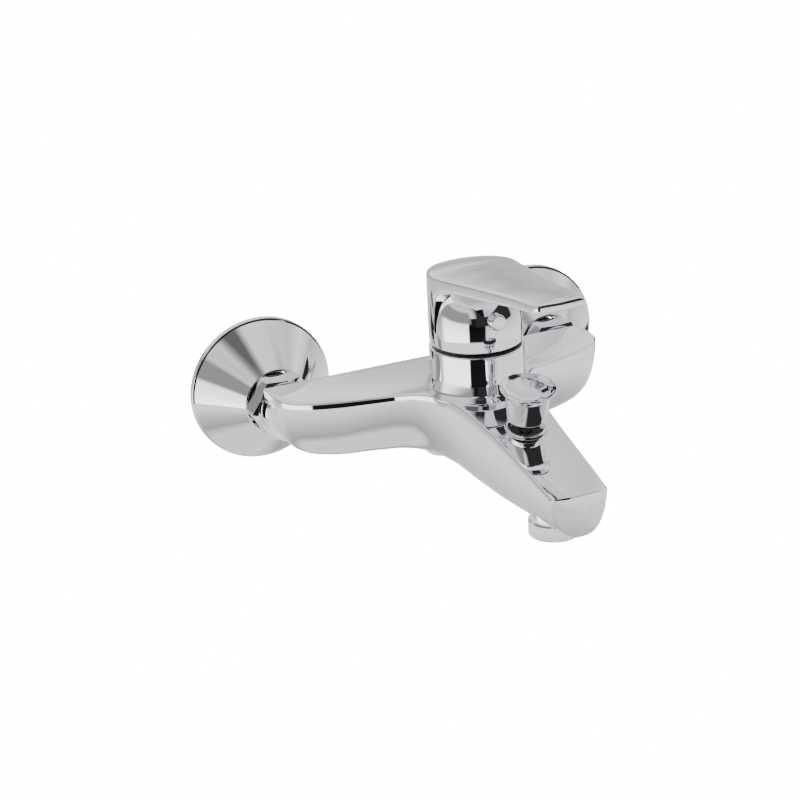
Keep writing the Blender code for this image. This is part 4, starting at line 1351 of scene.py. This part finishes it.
@dataclass
class Cartridge:
    """Trim ring over the cartridge, and the finishes of the carried-over nodes."""

    axis_y: float = centre("trim_ring", 1)
    inner: dict[str, Finish] = field(default_factory=lambda: {
        "cartridge_gasket": RUBBER, "cartridge_base": GREY_PLASTIC, "ceramic_disc_fixed": CERAMIC,
        "ceramic_disc_moving": CERAMIC, "disc_carrier": BLACK_PLASTIC,
        "cartridge_shell": PALE_PLASTIC, "cartridge_nut": BRASS, "cartridge_rotor": BLACK_PLASTIC,
        "pivot_pin": STEEL, "lever_spindle": BRASS, "set_screw": STEEL,
        "union_washer_left": FIBRE, "union_washer_right": FIBRE,
        "nonreturn_valve_left": GREY_PLASTIC, "nonreturn_valve_right": GREY_PLASTIC,
        "nonreturn_valve_shower": GREY_PLASTIC, "diverter_plunger": BRASS,
        "diverter_seal": RUBBER, "aerator_washer": RUBBER})

    def build(self) -> None:
        """Make the trim ring and dress every carried-over node."""
        ring = turned("trim_ring_black", ring_profile(13.2, 21.3, 39.6, 40.9, 0.3),
                      (0, self.axis_y, 0), steps=112)
        fit(ring, BLACK_PLASTIC, Body.MIXER, ["trim_ring"])
        for name, finish in self.inner.items():
            finish.dress(FRAME["nodes"][name])
            LOG.info("%s: dressed in %s", name, finish.name)


# --------------------------------------------------------------- studio

@dataclass
class Studio:
    """Floor, surrounding light and camera."""

    azimuth: float = -23.27
    elevation: float = 21.84
    distance: float = 1.2001
    lens: float = 110.36
    roll: float = -2.85
    aim: Point3 = (-0.02417, -0.060, 0.00255)
    floor_z: float = -0.30
    floor_half: float = 6.0
    # light of the floor in the view and on the mixer
    glow: float = 16.0
    fill: float = 0.8
    room_tone: tuple[float, ...] = (0.035, 0.035, 0.037, 1)
    shelf_tone: tuple[float, ...] = (0.38, 0.38, 0.385, 1)
    shade_tone: tuple[float, ...] = (0.16, 0.16, 0.165, 1)
    shade_way: Point3 = (-0.30, -0.28, 0.91)
    # brightness by height of the direction, 0 straight down to 1 straight up
    stops: list[Point2] = field(default_factory=lambda: [
        (0.0, 1.15), (0.05, 1.2), (0.10, 0.55), (0.18, 0.85), (0.27, 1.45), (0.40, 1.0),
        (0.50, 0.85), (0.57, 0.64), (0.68, 1.45), (0.80, 0.95), (1.0, 1.3)])
    # brightness by bearing, 0 towards the wall, 180 away from it, positive to the right
    walls: list[Point2] = field(default_factory=lambda: [
        (-180, 1.0), (-179, 1.0), (-177, 0.01), (-138, 0.01), (-136, 2.8), (-72, 2.8),
        (-60, 0.74), (-8, 0.8), (20, 1.0), (46, 1.0), (48, 0.01), (58, 0.01), (60, 1.15),
        (160, 1.15), (180, 1.0)])

    def floor(self) -> None:
        """Wide pale floor well below the mixer."""
        s, z = self.floor_half / MM, self.floor_z / MM
        ob = write_mesh("studio_floor", [(-s, -s, z), (s, -s, z), (s, s, z), (-s, s, z)],
                        [(0, 1, 2, 3)])
        m = bpy.data.materials.new("studio_floor_white")
        m.use_nodes = True
        p = m.node_tree.nodes["Principled BSDF"]
        p.inputs["Base Color"].default_value = (0.92, 0.92, 0.92, 1)
        p.inputs["Roughness"].default_value = 0.9
        p.inputs["Emission Color"].default_value = (1, 1, 1, 1)
        n = Nodes(m.node_tree)
        seen = n.add("ShaderNodeLightPath").outputs["Is Camera Ray"]
        glow = n.add("ShaderNodeMapRange", {"Value": seen, "To Min": self.fill,
                                            "To Max": self.glow})
        m.node_tree.links.new(glow.outputs["Result"], p.inputs["Emission Strength"])
        ob.data.materials.append(m)
        ob.visible_glossy = False

    def sky(self) -> None:
        """Soft surround, with dark walls and panels that the polished faces mirror."""
        w = bpy.data.worlds.new("studio_surround")
        bpy.context.scene.world = w
        w.use_nodes = True
        n = Nodes(w.node_tree)
        way = n.add("ShaderNodeTexCoord").outputs["Generated"]
        x, y, z = n.add("ShaderNodeSeparateXYZ", {0: way}).outputs
        colour = n.ramp(n.rise(z, -1.0, 1.0), [(at, (v, v, v * 1.03)) for at, v in self.stops])
        walls = n.ramp(n.rise(n.math("ARCTAN2", x, y), -math.pi, math.pi),
                       [((deg + 180) / 360, (v, v, v)) for deg, v in self.walls])
        # walls: a band of bearings that reaches a little above and below the level
        level = n.fall(n.math("ABSOLUTE", n.math("SUBTRACT", z, -0.05)), 0.335, 0.35)
        colour = n.mixed(level, colour, walls, "MULTIPLY")
        # dark room behind the camera, from the level up, open at the top and far left
        room = n.product(n.fall(y, -0.32, -0.22), n.rise(z, -0.06, 0.0), n.fall(z, 0.74, 0.86),
                         n.rise(x, -0.55, -0.35))
        colour = n.mixed(room, colour, self.room_tone)
        # grey shelf at the far left
        tall = n.fall(n.math("ABSOLUTE", n.math("SUBTRACT", z, 0.28)), 0.16, 0.24)
        colour = n.mixed(n.product(tall, n.rise(x, -0.55, -0.66)), colour, self.shelf_tone)
        # round shade high up at the front left
        near = n.add("ShaderNodeVectorMath", {0: way, 1: self.shade_way}, operation="DOT_PRODUCT")
        colour = n.mixed(n.rise(near.outputs["Value"], 0.955, 0.985), colour, self.shade_tone)
        w.node_tree.links.new(colour, w.node_tree.nodes["Background"].inputs["Color"])

    def lamps(self) -> None:
        """Overhead and side softboxes."""
        for name, place, size, power in (("overhead", (0.1, -0.2, 1.1), 1.2, 14.0),
                                         ("left", (-1.3, -0.5, 0.5), 0.9, 9.0),
                                         ("right", (1.2, -0.7, 0.6), 0.7, 7.0)):
            data = bpy.data.lights.new("softbox_" + name, "AREA")
            data.shape, data.size, data.energy = "DISK", size, power
            ob = bpy.data.objects.new("softbox_" + name, data)
            bpy.context.scene.collection.objects.link(ob)
            ob.location = place
            ob.visible_glossy = False
            way = Vector(self.aim) - Vector(place)
            ob.rotation_euler = way.to_track_quat("-Z", "Y").to_euler()

    def camera(self) -> None:
        """Long lens from the front left, a little above."""
        a, e, r = (math.radians(v) for v in (self.azimuth, self.elevation, self.roll))
        back = Vector((math.sin(a) * math.cos(e), -math.cos(a) * math.cos(e), math.sin(e)))
        right = (-back).cross(Vector((0, 0, 1))).normalized()
        up = right.cross(-back)
        x_axis = right * math.cos(r) + up * math.sin(r)
        y_axis = up * math.cos(r) - right * math.sin(r)
        data = bpy.data.cameras.new("studio_camera")
        data.lens, data.sensor_width = self.lens, 36.0
        ob = bpy.data.objects.new("studio_camera", data)
        bpy.context.scene.collection.objects.link(ob)
        m = Matrix((x_axis, y_axis, back)).transposed().to_4x4()
        m.translation = Vector(self.aim) + back * self.distance
        ob.matrix_world = m
        bpy.context.scene.camera = ob

    def build(self) -> None:
        """Set up the whole studio."""
        self.floor()
        self.sky()
        self.lamps()
        self.camera()


def main() -> None:
    """Build every sub-assembly in order."""
    logging.basicConfig(level=logging.INFO, format="%(name)s: %(message)s")
    helix, grille = build_helix_tree(), build_grille_tree()
    MixerBody().build()
    for side in Side:
        WallConnection(side).build(helix)
    Lever().build()
    Diverter().build(helix)
    Outlets().build(helix, grille)
    Cartridge().build()
    Studio().build()


if __name__ == "__main__":
    main()
